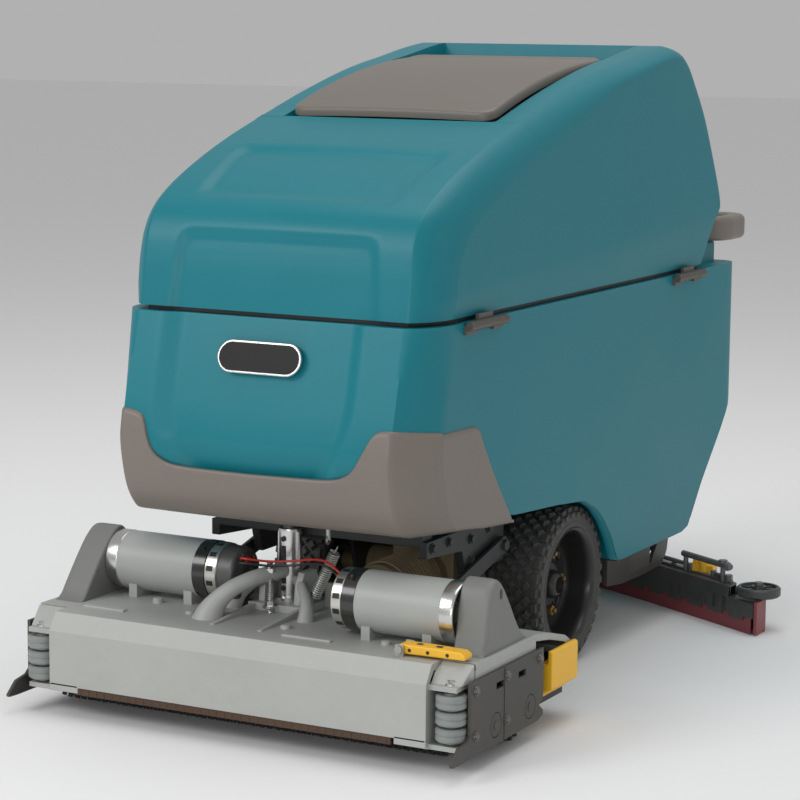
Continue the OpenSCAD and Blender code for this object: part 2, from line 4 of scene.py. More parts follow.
import bmesh
import bpy
from mathutils import Matrix, Vector


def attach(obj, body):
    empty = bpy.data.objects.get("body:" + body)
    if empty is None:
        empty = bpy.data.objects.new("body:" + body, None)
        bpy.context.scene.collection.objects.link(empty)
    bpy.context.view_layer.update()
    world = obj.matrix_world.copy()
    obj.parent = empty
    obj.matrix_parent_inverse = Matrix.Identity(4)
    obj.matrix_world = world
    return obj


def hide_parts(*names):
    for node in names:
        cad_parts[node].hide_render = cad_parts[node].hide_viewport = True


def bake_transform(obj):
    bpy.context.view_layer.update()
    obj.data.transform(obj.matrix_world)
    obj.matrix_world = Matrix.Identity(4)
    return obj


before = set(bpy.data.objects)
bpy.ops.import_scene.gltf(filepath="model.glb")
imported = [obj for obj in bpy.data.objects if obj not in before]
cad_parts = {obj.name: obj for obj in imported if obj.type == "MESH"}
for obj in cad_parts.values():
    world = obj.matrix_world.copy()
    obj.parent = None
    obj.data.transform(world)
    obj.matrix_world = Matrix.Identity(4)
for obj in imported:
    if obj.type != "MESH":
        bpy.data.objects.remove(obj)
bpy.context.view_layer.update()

scene = bpy.context.scene

# ---------------------------------------------------------------- studio
# A pale floor that runs out of sight, a large soft key light from the front left, a weaker fill
# from the right and a soft top light, as in a catalogue studio.


def studio_light(name, place, size, power, aim=(0, 0, 0.45)):
    lamp = bpy.data.lights.new(name, "AREA")
    lamp.shape = "RECTANGLE"
    lamp.size, lamp.size_y = size
    lamp.energy = power
    holder = bpy.data.objects.new(name, lamp)
    holder.location = place
    holder.rotation_euler = (Vector(aim) - Vector(place)).to_track_quat("-Z", "Y").to_euler()
    scene.collection.objects.link(holder)


studio_light("key_light", (-2.6, -4.6, 3.4), (2.6, 2.0), 92)
studio_light("front_light", (1.2, -5.5, 1.3), (3.0, 1.2), 42)
studio_light("side_light", (5.0, 0.4, 2.2), (2.4, 2.4), 10)
studio_light("top_light", (0.2, 0.4, 4.6), (3.2, 3.2), 72)

world = bpy.data.worlds.new("studio_air")
world.use_nodes = True
world.node_tree.nodes["Background"].inputs["Color"].default_value = (1, 1, 1, 1)
world.node_tree.nodes["Background"].inputs["Strength"].default_value = 0.44
scene.world = world
scene.view_settings.view_transform = "Standard"

floor_mesh = bmesh.new()
bmesh.ops.create_grid(floor_mesh, x_segments=1, y_segments=1, size=30)
floor_data = bpy.data.meshes.new("studio_floor")
floor_mesh.to_mesh(floor_data)
floor_mesh.free()
floor = bpy.data.objects.new("studio_floor", floor_data)
floor_paper = bpy.data.materials.new("floor_paper")
floor_paper.use_nodes = True
floor_paper.node_tree.nodes["Principled BSDF"].inputs["Base Color"].default_value = (0.93, 0.93, 0.93, 1)
floor_paper.node_tree.nodes["Principled BSDF"].inputs["Roughness"].default_value = 0.9
floor_data.materials.append(floor_paper)
scene.collection.objects.link(floor)

# The camera stands at the front left corner of the machine, a little above its middle.
camera_data = bpy.data.cameras.new("camera")
camera_data.lens = 115.5
camera_data.sensor_width = 36
camera = bpy.data.objects.new("camera", camera_data)
camera_place = Vector((2.1032, -4.1490, 1.1639))
camera_aim = Vector((-0.012, -0.164, 0.479))
camera_turn = (camera_aim - camera_place).to_track_quat("-Z", "Y").to_matrix()
camera_turn = camera_turn @ Matrix.Rotation(math.radians(0.49), 3, "Z")
camera.matrix_world = Matrix.Translation(camera_place) @ camera_turn.to_4x4()
scene.collection.objects.link(camera)
scene.camera = camera

# ---------------------------------------------------------------- recovery tank
# Rotationally moulded polyethylene: one thick hollow skin with a fine orange-peel surface, two
# sunk panels on its front, and a sunk seat on top for the lid. It rests on the lower tank's gasket.


def grain_group():
    """Shader group: fine surface grain as a normal, and a slow mottle as a mask."""
    tree = bpy.data.node_groups.new("surface_grain", "ShaderNodeTree")
    for name, value in (("Grain Scale", 300.0), ("Grain Height", 0.2), ("Mottle Scale", 6.0)):
        socket = tree.interface.new_socket(name, in_out="INPUT", socket_type="NodeSocketFloat")
        socket.default_value = value
    tree.interface.new_socket("Normal", in_out="OUTPUT", socket_type="NodeSocketVector")
    tree.interface.new_socket("Mottle", in_out="OUTPUT", socket_type="NodeSocketFloat")
    nodes, link = tree.nodes, tree.links.new
    given, out = nodes.new("NodeGroupInput"), nodes.new("NodeGroupOutput")
    place = nodes.new("ShaderNodeTexCoord")
    fine, slow = nodes.new("ShaderNodeTexNoise"), nodes.new("ShaderNodeTexNoise")
    fine.inputs["Detail"].default_value = 3
    slow.inputs["Detail"].default_value = 4
    bump = nodes.new("ShaderNodeBump")
    bump.inputs["Distance"].default_value = 0.0006
    for noise, scale in ((fine, "Grain Scale"), (slow, "Mottle Scale")):
        link(place.outputs["Object"], noise.inputs["Vector"])
        link(given.outputs[scale], noise.inputs["Scale"])
    link(given.outputs["Grain Height"], bump.inputs["Strength"])
    link(fine.outputs["Fac"], bump.inputs["Height"])
    link(bump.outputs["Normal"], out.inputs["Normal"])
    link(slow.outputs["Fac"], out.inputs["Mottle"])
    return tree


def wear_group():
    """Shader group: rubbed edges as a mask, broken up by noise."""
    tree = bpy.data.node_groups.new("edge_wear", "ShaderNodeTree")
    amount = tree.interface.new_socket("Amount", in_out="INPUT", socket_type="NodeSocketFloat")
    amount.default_value = 0.5
    tree.interface.new_socket("Mask", in_out="OUTPUT", socket_type="NodeSocketFloat")
    nodes, link = tree.nodes, tree.links.new
    given, out = nodes.new("NodeGroupInput"), nodes.new("NodeGroupOutput")
    shape = nodes.new("ShaderNodeNewGeometry")
    place = nodes.new("ShaderNodeTexCoord")
    rise = nodes.new("ShaderNodeMapRange")
    rise.inputs["From Min"].default_value = 0.52
    rise.inputs["From Max"].default_value = 0.62
    noise = nodes.new("ShaderNodeTexNoise")
    noise.inputs["Scale"].default_value = 60
    noise.inputs["Detail"].default_value = 4
    both = nodes.new("ShaderNodeMath")
    both.operation = "MULTIPLY"
    most = nodes.new("ShaderNodeMath")
    most.operation = "MULTIPLY"
    link(shape.outputs["Pointiness"], rise.inputs["Value"])
    link(place.outputs["Object"], noise.inputs["Vector"])
    link(rise.outputs["Result"], both.inputs[0])
    link(noise.outputs["Fac"], both.inputs[1])
    link(both.outputs["Value"], most.inputs[0])
    link(given.outputs["Amount"], most.inputs[1])
    link(most.outputs["Value"], out.inputs["Mask"])
    return tree


surface_grain = grain_group()
edge_wear = wear_group()


def finish(name, colour, rough, metal=0.0, grain=(300, 0.2), mottle=(6, 0.12), wear=0.4, worn=None, coat=0.0,
           shine=0.5):
    """A finish of one base colour with grain, a slow change of tone and rubbed edges."""
    made = bpy.data.materials.new(name)
    made.use_nodes = True
    nodes, link = made.node_tree.nodes, made.node_tree.links.new
    skin = nodes["Principled BSDF"]
    skin.inputs["Metallic"].default_value = metal
    skin.inputs["Specular IOR Level"].default_value = shine
    skin.inputs["Coat Weight"].default_value = coat
    skin.inputs["Coat Roughness"].default_value = 0.15
    surface = nodes.new("ShaderNodeGroup")
    surface.node_tree = surface_grain
    surface.inputs["Grain Scale"].default_value = grain[0]
    surface.inputs["Grain Height"].default_value = grain[1]
    surface.inputs["Mottle Scale"].default_value = mottle[0]
    rubbed = nodes.new("ShaderNodeGroup")
    rubbed.node_tree = edge_wear
    rubbed.inputs["Amount"].default_value = wear
    tone = nodes.new("ShaderNodeMix")
    tone.data_type = "RGBA"
    tone.inputs["A"].default_value = (*[c * (1 - mottle[1]) for c in colour], 1)
    tone.inputs["B"].default_value = (*[min(1, c * (1 + mottle[1])) for c in colour], 1)
    edge = nodes.new("ShaderNodeMix")
    edge.data_type = "RGBA"
    edge.inputs["B"].default_value = (*(worn or [min(1, c * 1.6 + 0.03) for c in colour]), 1)
    gloss = nodes.new("ShaderNodeMapRange")
    gloss.inputs["To Min"].default_value = rough - 0.06
    gloss.inputs["To Max"].default_value = rough + 0.08
    link(surface.outputs["Mottle"], tone.inputs["Factor"])
    link(tone.outputs["Result"], edge.inputs["A"])
    link(rubbed.outputs["Mask"], edge.inputs["Factor"])
    link(edge.outputs["Result"], skin.inputs["Base Color"])
    link(surface.outputs["Mottle"], gloss.inputs["Value"])
    link(gloss.outputs["Result"], skin.inputs["Roughness"])
    link(surface.outputs["Normal"], skin.inputs["Normal"])
    return made


def piece(name, shape, skin, body, stands_for=(), sharp=38, turn_out=True):
    """Turn a shape drawn in millimetres into a finished piece that rides on a body."""
    if turn_out:
        bmesh.ops.recalc_face_normals(shape, faces=shape.faces)
    bmesh.ops.scale(shape, vec=(0.001, 0.001, 0.001), verts=shape.verts)
    for face in shape.faces:
        face.smooth = True
    for edge in shape.edges:
        if len(edge.link_faces) == 2:
            edge.smooth = edge.calc_face_angle(0) < math.radians(sharp)
    data = bpy.data.meshes.new(name)
    shape.to_mesh(data)
    shape.free()
    data.materials.append(skin)
    made = bpy.data.objects.new(name, data)
    scene.collection.objects.link(made)
    even = made.modifiers.new("even_shading", "WEIGHTED_NORMAL")
    even.keep_sharp = True
    if body:
        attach(made, body)
    if stands_for:
        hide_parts(*stands_for)
    return made


def soften(made, width, segments=3, angle=0.6):
    """Round a piece's edges by a width in millimetres, before its shading is evened out."""
    edge = made.modifiers.new("broken_edges", "BEVEL")
    edge.width = width / 1000
    edge.segments = segments
    edge.limit_method = "ANGLE"
    edge.angle_limit = angle
    made.modifiers.move(1, 0)


def round_line(points, step):
    """Points about one step apart on a smooth line that passes through the given points."""
    line = []
    ends = [points[0], *points, points[-1]]
    for a, b, c, d in zip(ends, ends[1:], ends[2:], ends[3:]):
        count = max(1, round((Vector(c[:2]) - Vector(b[:2])).length / step))
        for k in range(count):
            t = k / count
            line.append([0.5 * (2 * q + (r - p) * t + (2 * p - 5 * q + 4 * r - s) * t * t
                                + (3 * q - p - 3 * r + s) * t ** 3) for p, q, r, s in zip(a, b, c, d) ])
    return line + [list(points[-1])]


def ease(t):
    """Rises smoothly from 0 to 1 as t does."""
    t = max(0.0, min(1.0, t))
    return t * t * (3 - 2 * t)


def inside(x, y, corners, soft):
    """How far a point is inside a convex outline with rounded corners, given anticlockwise."""
    total = 0.0
    for a, b in zip(corners, corners[1:] + corners[:1]):
        along = (Vector(b) - Vector(a)).normalized()
        reach = along.x * (y - a[1]) - along.y * (x - a[0])
        total += math.exp(max(-60.0, min(60.0, -reach / soft)))
    return -soft * math.log(total)


def skin_grid(rows, columns, place):
    """A sheet of rows and columns whose points lie where place(row, column) says."""
    sheet = bmesh.new()
    bmesh.ops.create_grid(sheet, x_segments=columns - 1, y_segments=rows - 1, size=1)
    sheet.verts.ensure_lookup_table()
    for i in range(rows):
        for j in range(columns):
            sheet.verts[i * columns + j].co = place(i, j)
    return sheet


def new_verts(made):
    """The vertices that an extrusion added."""
    return [g for g in made["geom"] if isinstance(g, bmesh.types.BMVert)]


def new_rim(made):
    """The open edges that an extrusion added."""
    return [g for g in made["geom"] if isinstance(g, bmesh.types.BMEdge) and g.is_boundary]


def bend(a, b, c, t):
    """Point at t of a curve from a to c that is drawn towards b."""
    return (1 - t) ** 2 * a + 2 * t * (1 - t) * b + t * t * c


def join_loops(shape, loops, closed=True):
    """A skin through loops of vertices, with a flat face over each end."""
    for low, high in zip(loops, loops[1:]):
        for j in range(len(low) if closed else len(low) - 1):
            n = (j + 1) % len(low)
            shape.faces.new((low[j], low[n], high[n], high[j]))
    shape.faces.new(loops[0])
    shape.faces.new(loops[-1])


def round_bar(shape, line, radii, sides, guide):
    """A bar of round section along a line; the line never runs in the direction of guide."""
    turns = [2 * math.pi * j / sides for j in range(sides)]
    loops = []
    for k, point in enumerate(line):
        ahead = (Vector(line[min(k + 1, len(line) - 1)]) - Vector(line[max(0, k - 1)])).normalized()
        u = ahead.cross(guide).normalized()
        w = ahead.cross(u)
        loops.append([shape.verts.new(Vector(point) + (u * math.cos(a) + w * math.sin(a)) * radii[k])
                      for a in turns])
    join_loops(shape, loops)


def spread(*stops):
    """Positions from stop to stop; each stop after the first is (end, spacing)."""
    line = [stops[0]]
    for end, gap in stops[1:]:
        count = max(1, round(abs(end - line[-1]) / gap))
        start = line[-1]
        line += [start + (end - start) * (k + 1) / count for k in range(count)]
    return line


RIBBON = 250          # half width of the flat front and top of both tanks
SIDE = 292            # half width at the sides
SEAM_TOP = 681        # bottom of the upper tank
# Middle line and side edge of the upper tank from the seam at the front, over the top, to the
# seam at the back: y and z of the middle, then y and z of the edge.
upper_line = [
    (-630, 681, -551, 681), (-625, 722, -546, 720), (-619, 763, -540, 757), (-609, 803, -520, 795),
    (-588, 838, -487, 824), (-548, 867, -452, 844), (-491, 895, -402, 867), (-410, 927, -340, 892),
    (-322, 956, -275, 915), (-192, 993, -167, 950), (-67, 1026, -60, 986), (90, 1060, 90, 1032),
    (234, 1082, 226, 1060), (330, 1097, 322, 1076), (385, 1101, 372, 1078), (425, 1084, 404, 1066),
    (469, 1037, 439, 1036), (541, 949, 511, 950), (590, 845, 560, 846), (606, 795, 577, 795),
    (600, 782, 571, 783), (579, 760, 551, 760), (543, 681, 515, 681),
]
# The lid's hinge axis and the slope of its seat.
LID_HINGE = Vector((0, 228, 1078))
LID_TILT = math.radians(10.6)


def lid_plane(y, height):
    """Height above the floor of the plane that lies a given height off the lid's own plane."""
    return LID_HINGE.z + (y - LID_HINGE.y) * math.tan(LID_TILT) + height / math.cos(LID_TILT)


rows = round_line(upper_line, 7)
seat_front, seat_rear, seat_half = -243, 372, 203
for edge_at in (seat_front, seat_front - 2.5, seat_rear, seat_rear + 3, -180, 160):
    near = min(range(len(rows)), key=lambda k: abs(rows[k][0] - edge_at) if rows[k][1] > 900 else 999)
    rows[near][0] = edge_at
across = spread(0, (149, 8), (152, 3), (203, 6), (206, 3), (RIBBON, 5))
across = [-x for x in reversed(across[1:])] + across
corner = [k / 6 for k in range(1, 6)]
drop = [k / 22 for k in range(1, 23)]
half_count = len(drop) + len(corner) + 1
front_panel = [(-205, 640), (205, 640), (186, 812), (-186, 812)]
slope_panel = [(-190, -568), (190, -568), (212, -385), (-212, -385)]
seam_front, seam_rear = upper_line[0][2], upper_line[-1][2]
seam_run = [k / (len(rows) - 1) for k in range(len(rows))]
seam_places = [seam_front + (seam_rear - seam_front) * (0.35 * ease(t) + 0.65 * t) for t in seam_run]


def side_reach(y, z):
    """Half width of the upper tank's side: it swells to a crease and tucks in below it."""
    crease = 736 + (y + 134) * 0.054
    swell = 8 * ease((y + 300) / 700)
    if z > crease:
        return SIDE + swell * ease(1 - (z - crease) / 190)
    return SIDE + swell - (swell + 6) * (crease - z) / (crease - SEAM_TOP)


def upper_point(i, j):
    """Point of the upper tank's skin: j runs from the left seam over the top to the right seam."""
    y_mid, z_mid, y_edge, z_edge = rows[i]
    side = -1 if j < half_count else 1
    steps = half_count - 1 - j if side < 0 else j - half_count - len(across)
    if 0 <= j - half_count < len(across):
        x = across[j - half_count]
        before, after = rows[max(0, i - 1)], rows[min(len(rows) - 1, i + 1)]
        tangent = Vector((after[0] - before[0], after[1] - before[1])).normalized()
        out_y, out_z = -tangent.y, tangent.x
        crown = 5 * (1 - (x / RIBBON) ** 2)
        if y_mid >= 0 or z_mid >= 900:
            crown *= 1 - ease((y_mid + 460) / 190)
        sunk = 0.0
        if z_mid < 850 and y_mid < 0:
            sunk = 9 * ease((inside(x, z_mid, front_panel, 7) + 1) / 19)
        elif y_mid < -370:
            sunk = 9 * ease(inside(x, y_mid, slope_panel, 9) / 24)
        if seat_front <= y_mid <= seat_rear and abs(x) <= seat_half and z_mid > 900:
            return (x, y_mid, lid_plane(y_mid, -28))
        lift = crown - sunk
        return (x, y_mid + out_y * lift, z_mid + out_z * lift)
    edge_x = side_reach(y_edge, z_edge)
    if steps < len(corner):
        t = corner[steps]
        x = bend(RIBBON, edge_x - 3, edge_x, t)
        y = bend(y_mid, y_mid + 0.35 * (y_edge - y_mid), y_edge, t)
        z = bend(z_mid, z_mid + 0.35 * (z_edge - z_mid), z_edge, t)
        return (side * x, y, z)
    if steps == len(corner):
        return (side * edge_x, y_edge, z_edge)
    t = drop[steps - len(corner) - 1]
    y = y_edge + (seam_places[i] - y_edge) * t
    z = z_edge + (SEAM_TOP - z_edge) * t
    return (side * side_reach(y, z), y, z)


teal = finish("teal_moulding", (0.007, 0.19, 0.236), 0.38, grain=(420, 0.16), mottle=(5, 0.05), wear=0.25,
              shine=0.3)
tank = skin_grid(len(rows), 2 * half_count + len(across), upper_point)
bmesh.ops.remove_doubles(tank, verts=tank.verts, dist=0.05)
# the tank's mouth under the lid: the skin turns down into the tank
mouth = []
for face in tank.faces:
    middle = face.calc_center_median()
    if abs(middle.x) < 150.5 and -180.5 < middle.y < 160.5 and middle.z > 900:
        mouth.append(face)
in_mouth = set(mouth)
rim = [e for f in mouth for e in f.edges if len(in_mouth.intersection(e.link_faces)) == 1]
bmesh.ops.delete(tank, geom=mouth, context="FACES")
rim = [e for e in rim if e.is_valid]
lip = bmesh.ops.extrude_edge_only(tank, edges=rim)
for v in new_verts(lip):
    v.co.z -= 16
wide = bmesh.ops.extrude_edge_only(tank, edges=new_rim(lip))
for v in new_verts(wide):
    v.co.x *= 1.35
    v.co.y = v.co.y * 1.3 + 20
    v.co.z -= 4
deep = bmesh.ops.extrude_edge_only(tank, edges=new_rim(wide))
for v in new_verts(deep):
    v.co.z = 702
bmesh.ops.holes_fill(tank, edges=new_rim(deep))
bottom = bmesh.ops.holes_fill(tank, edges=[e for e in tank.edges if e.is_boundary])
bmesh.ops.recalc_face_normals(tank, faces=tank.faces)
bmesh.ops.bevel(tank, geom=[e for f in bottom["faces"] for e in f.edges], offset=4, offset_type="OFFSET",
                segments=3, profile=0.5, affect="EDGES", clamp_overlap=True, material=-1)
piece("recovery_tank_skin", tank, teal, "recovery_tank", ["recovery_tank"], sharp=50)

# ---------------------------------------------------------------- recovery tank lid
# A crowned polyethylene lid in its sunk seat, hinged at the back, with a turned-down rim and a
# foam seal that closes on the tank's mouth.


def slab(xs, ys, radius, top, edge, depth):
    """A plate with rounded corners and a rounded upper edge; top(x, y) gives its height."""
    wide, low, high = xs[-1], ys[0], ys[-1]
    centre_y = (low + high) / 2
    long = (high - low) / 2

    def place(i, j):
        x, y = xs[j], ys[i] - centre_y
        over_x, over_y = abs(x) - (wide - radius), abs(y) - (long - radius)
        if over_x > 0 and over_y > 0:
            pull = max(over_x, over_y) / math.hypot(over_x, over_y)
            x = math.copysign(wide - radius + over_x * pull, x)
            y = math.copysign(long - radius + over_y * pull, y)
            margin = radius - math.hypot(over_x, over_y) * pull
        else:
            margin = min(wide - abs(x), long - abs(y))
        fall = edge - math.sqrt(max(0, edge ** 2 - max(0, edge - margin) ** 2))
        return (x, y + centre_y, top(x, y + centre_y) - fall)

    plate = skin_grid(len(ys), len(xs), place)
    walls = bmesh.ops.extrude_edge_only(plate, edges=[e for e in plate.edges if e.is_boundary])
    for v in new_verts(walls):
        v.co.z -= depth
    bmesh.ops.holes_fill(plate, edges=[e for e in plate.edges if e.is_boundary])
    return plate


def even(low, high, edge, coarse, radius=0):
    """Positions from low to high: close together within the rounded edge, wider apart between."""
    fine = spread(0, (edge, edge / 6), (max(radius, edge + 1), 4))
    middle = spread(low + fine[-1], (high - fine[-1], coarse))
    return [low + f for f in fine[:-1]] + middle + [high - f for f in reversed(fine[:-1])]


def lay(shape, place, tilt=0.0, axis="X"):
    """Turn a shape about an axis and set it down at a place."""
    turn = Matrix.Translation(place) @ Matrix.Rotation(tilt, 4, axis)
    bmesh.ops.transform(shape, matrix=turn, verts=shape.verts)
    return shape


def box(shape, low, high):
    """A box between two opposite corners, added to a shape; gives its vertices."""
    middle = [(a + b) / 2 for a, b in zip(low, high)]
    size = [abs(b - a) for a, b in zip(low, high)]
    made = bmesh.ops.create_cube(shape, size=1)
    bmesh.ops.transform(shape, matrix=Matrix.Translation(middle) @ Matrix.Diagonal((*size, 1)),
                        verts=made["verts"])
    return made["verts"]


def rod(shape, start, end, radius, sides=24, end_radius=None):
    """A round bar between two points, added to a shape."""
    start, end = Vector(start), Vector(end)
    made = bmesh.ops.create_cone(shape, cap_ends=True, segments=sides, radius1=radius,
                                 radius2=radius if end_radius is None else end_radius,
                                 depth=(end - start).length)
    turn = (end - start).to_track_quat("Z", "Y").to_matrix().to_4x4()
    bmesh.ops.transform(shape, matrix=Matrix.Translation((start + end) / 2) @ turn, verts=made["verts"])
    return made["verts"]


def lid_top(x, y):
    """Height of the lid's crowned top over its own plane."""
    along = max(0, 1 - ((y + 250) / 224) ** 2)
    return 3 + 15 * along + 8 * (1 - (x / 198) ** 2) * (1 - ease((y + 110) / 110)) * (0.4 + 0.6 * along)


taupe = finish("taupe_moulding", (0.2, 0.172, 0.15), 0.42, grain=(420, 0.2), mottle=(6, 0.06), wear=0.3)
# A darker copy of the taupe moulding for the lid shell: painted shade on the lid's top; the lid's hinge
# barrels keep the plain taupe.
lid_taupe_painted_shade = finish("lid_taupe_painted_shade", (0.17, 0.148, 0.128), 0.4, grain=(420, 0.2), mottle=(6, 0.06), wear=0.3)
lid = slab(even(-198, 198, 8, 12, 28), even(-474, 8, 8, 12, 28), 28, lid_top, 8, 7)
lay(lid, LID_HINGE, LID_TILT)
piece("lid_shell", lid, lid_taupe_painted_shade, "lid", ["lid"])

lid_hinge = bmesh.new()
for side in (-1, 1):
    for start, end in ((120, 132), (134, 146), (148, 160)):
        rod(lid_hinge, (side * start, 0, -4), (side * end, 0, -4), 6.5)
    box(lid_hinge, (side * 125, -16, -10), (side * 155, -2, 0))
lay(lid_hinge, LID_HINGE, LID_TILT)
piece("lid_hinge_barrels", lid_hinge, taupe, "lid", ["lid"])

# ---------------------------------------------------------------- solution tank
# The lower moulding: an open-topped tank that holds the batteries, with a sunk front panel, an
# arch over each drive wheel and a raised block at the back that carries the handle.


def read_line(line, at):
    """Value at a position of a line of (position, value) points."""
    for (a, p), (b, q) in zip(line, line[1:]):
        if at <= b:
            return p + (q - p) * (at - a) / (b - a)
    return line[-1][1]


SEAM_LOW = 673        # top of the lower tank
TANK_LOW = 343        # bottom of its front and its front corners
WELL_LOW = 346        # floor of the battery well
# Front face of the lower tank on its middle line: y and z.
lower_line = round_line([(-600, 318), (-618, 335), (-645, 349), (-672, 388), (-688, 455), (-685, 500),
                         (-665, 582), (-640, SEAM_LOW)], 6)
front_line = [(z, y) for y, z in lower_line]
# Bottom edge of its sides from front to back, over the wheel arch: y and z.
under_line = [(-720, TANK_LOW), (-490, TANK_LOW), (-348, 336), (-322, 329), (-150, 317), (-33, 305),
              (20, 282), (59, 252), (88, 220), (103, 198), (113, 178), (124, 168), (150, 166), (440, 166),
              (470, 173), (538, 252), (630, 339), (705, 421)]


def plan_point(place, z, out):
    """Point of the lower tank's outside. place is (zone, position): along the front, round the
    front corner, along the side, round the rear corner or along the back."""
    zone, t = place
    side = math.copysign(1, t)
    t = abs(t)
    f = read_line(front_line, z)
    if zone == "front":
        return Vector((side * t, f - 5 * (1 - (t / RIBBON) ** 2) - out, z))
    if zone == "corner":
        flat = max(0, min(1, (SEAM_LOW - z) / 170))
        a, c = Vector((RIBBON, f - out)), Vector((SIDE + out, f + 86))
        b = Vector((SIDE - 1 - 20 * flat + out, f + 20 + 18 * flat - out))
        p = bend(a, b, c, t)
        return Vector((side * p.x, p.y, z))
    if zone == "side":
        y = -600 + 1260 * t + (f + 686) * max(0, 1 - t / 0.12)
        return Vector((side * (SIDE + out), y, z))
    if zone == "rear":
        a, b, c = Vector((SIDE + out, 660)), Vector((SIDE + out, 705 + out)), Vector((RIBBON, 705 + out))
        p = bend(a, b, c, t)
        return Vector((side * p.x, p.y, z))
    return Vector((side * t, 705 + out, z))


half_plan = [("front", x) for x in spread(1e-3, (RIBBON, 5.5))]
half_plan += [("corner", t) for t in spread(1 / 9, (1, 1 / 9))]
half_plan += [("side", t) for t in spread(0.015, (0.45, 0.022), (0.70, 0.0085), (1, 0.02))]
half_plan += [("rear", t) for t in spread(1 / 6, (1, 1 / 6))]
half_plan += [("back", x) for x in spread(225, (1e-3, 25))]
plan = [(zone, -t) for zone, t in reversed(half_plan)] + half_plan
lower_panel = [(-130, 392), (110, 392), (156, 450), (182, 516), (176, 740), (-206, 740), (-201, 486),
               (-176, 440)]
heights = [k / 60 for k in range(61)]


def lower_point(i, j):
    """Point of the lower tank's skin; rows run from the bottom edge to the seam."""
    place = plan[j]
    foot = plan_point(place, 500, 0)
    bottom = TANK_LOW if place[0] in ("front", "corner") else read_line(under_line, foot.y)
    z = bottom + (SEAM_LOW - bottom) * heights[i]
    point = plan_point(place, z, 0)
    if place[0] == "front":
        width = 28 + 18 * ease((-60 - point.x) / 100)
        point.y += 13 * ease((inside(point.x, z, lower_panel, 7) + 1) / width)
        point.y += 5 * ease((486 - z) / 50) * ease((200 - abs(point.x)) / 40)
    return point


tank = skin_grid(len(heights), len(plan), lower_point)
bmesh.ops.remove_doubles(tank, verts=tank.verts, dist=0.02)
top_rim = [e for e in tank.edges if e.is_boundary and min(v.co.z for v in e.verts) > SEAM_LOW - 0.1]
lip = bmesh.ops.extrude_edge_only(tank, edges=top_rim)
for v in new_verts(lip):
    v.co = (max(-226, min(226, v.co.x)), max(-400, min(400, v.co.y)), SEAM_LOW)
wall = bmesh.ops.extrude_edge_only(tank, edges=new_rim(lip))
for v in new_verts(wall):
    v.co.z = WELL_LOW
bmesh.ops.remove_doubles(tank, verts=tank.verts, dist=0.02)
floor_edges = [e for e in tank.edges if e.is_boundary and all(abs(v.co.z - WELL_LOW) < 0.1 for v in e.verts)]
bmesh.ops.holes_fill(tank, edges=floor_edges)
piece("solution_tank_skin", tank, teal, "chassis", ["solution_tank"], sharp=40)

# Its underside: the belly, the pocket for the lift gear and the wells over the wheels.
under_x = [-291, -275.4, -275, -152.4, -152, -80.4, -80, 80, 80.4, 152, 152.4, 275, 275.4, 291]
under_y = spread(-606, (-600.4, 5.6), (-600, 0.4), (-441, 40), (-440.6, 0.4), (-206.4, 40), (-206, 0.4),
                 (-150, 8), (130, 6), (130.4, 0.4), (440, 60), (480, 10), (640, 20), (703, 20))


def belly_z(x, y):
    """Height of the underside at a place."""
    z = read_line(under_line, y)
    if abs(x) < 80.2 and -600.2 < y < -440.8:
        return 420
    if 152.2 < abs(x) < 275.2 and -195 < y < 130.2:
        return max(z, 146 + math.sqrt(max(0, 164 ** 2 - (y + 32) ** 2)))
    if abs(x) < 152.2 and -206.2 < y < 130.2:
        return max(z, 301)
    return z


def belly_point(i, j):
    """Point of the underside; its outer edge follows the rounded corners of the tank."""
    x, y = under_x[j], under_y[i]
    rear = max(0, min(1, (y - 660) / 45))
    front = max(0, min(1, (-547 - y) / 86))
    reach = 246 + 45 * min(math.sqrt(1 - rear ** 2), 1 - front)
    return (max(-reach, min(reach, x)), y, belly_z(x, y) + 0.6)


belly = skin_grid(len(under_y), len(under_x), belly_point)
belly_piece = piece("solution_tank_underside", belly, teal, "chassis", ["solution_tank"])
belly_wall = belly_piece.modifiers.new("wall", "SOLIDIFY")
belly_wall.thickness = 0.003
belly_wall.offset = 0

rear_block = slab(even(-250, 250, 8, 40, 24), even(563, 700, 8, 20, 24), 24, lambda x, y: 715, 8, 48)
piece("solution_tank_rear_block", rear_block, teal, "chassis", ["solution_tank"])

# ---------------------------------------------------------------- front bumper
# A taupe polyethylene wrap, screwed to the lower tank from behind, with a U-shaped cut-out under
# the front panel and a sloping end on each side.
# Upper edge of the bumper over the front, on the left and the right half, and along each side.
bumper_top = round_line([(0, 428), (103, 430), (140, 432), (164, 438), (184, 452), (202, 481), (214, 504),
                         (225, 515), (246, 518), (300, 518)], 4)
bumper_left = round_line([(0, 428), (70, 428), (130, 429), (162, 433), (181, 443), (190, 454), (197, 470),
                          (203, 492), (210, 507), (222, 513), (246, 517), (300, 518)], 4)
bumper_back = [(-720, 508), (-480, 502), (-466, 495), (-452, 472), (-414, 418), (-372, 366), (-334, 321)]
bumper_half = [("front", x) for x in spread(1e-3, (RIBBON, 5.5))]
bumper_half += [("corner", t) for t in spread(1 / 9, (1, 1 / 9))]
bumper_half += [("side", t) for t in spread(0.004, (0.218, 0.004))]
bumper_plan = [(zone, -t) for zone, t in reversed(bumper_half)] + bumper_half
bumper_rows = spread(0, (0.06, 0.012), (0.94, 0.04), (1, 0.012))


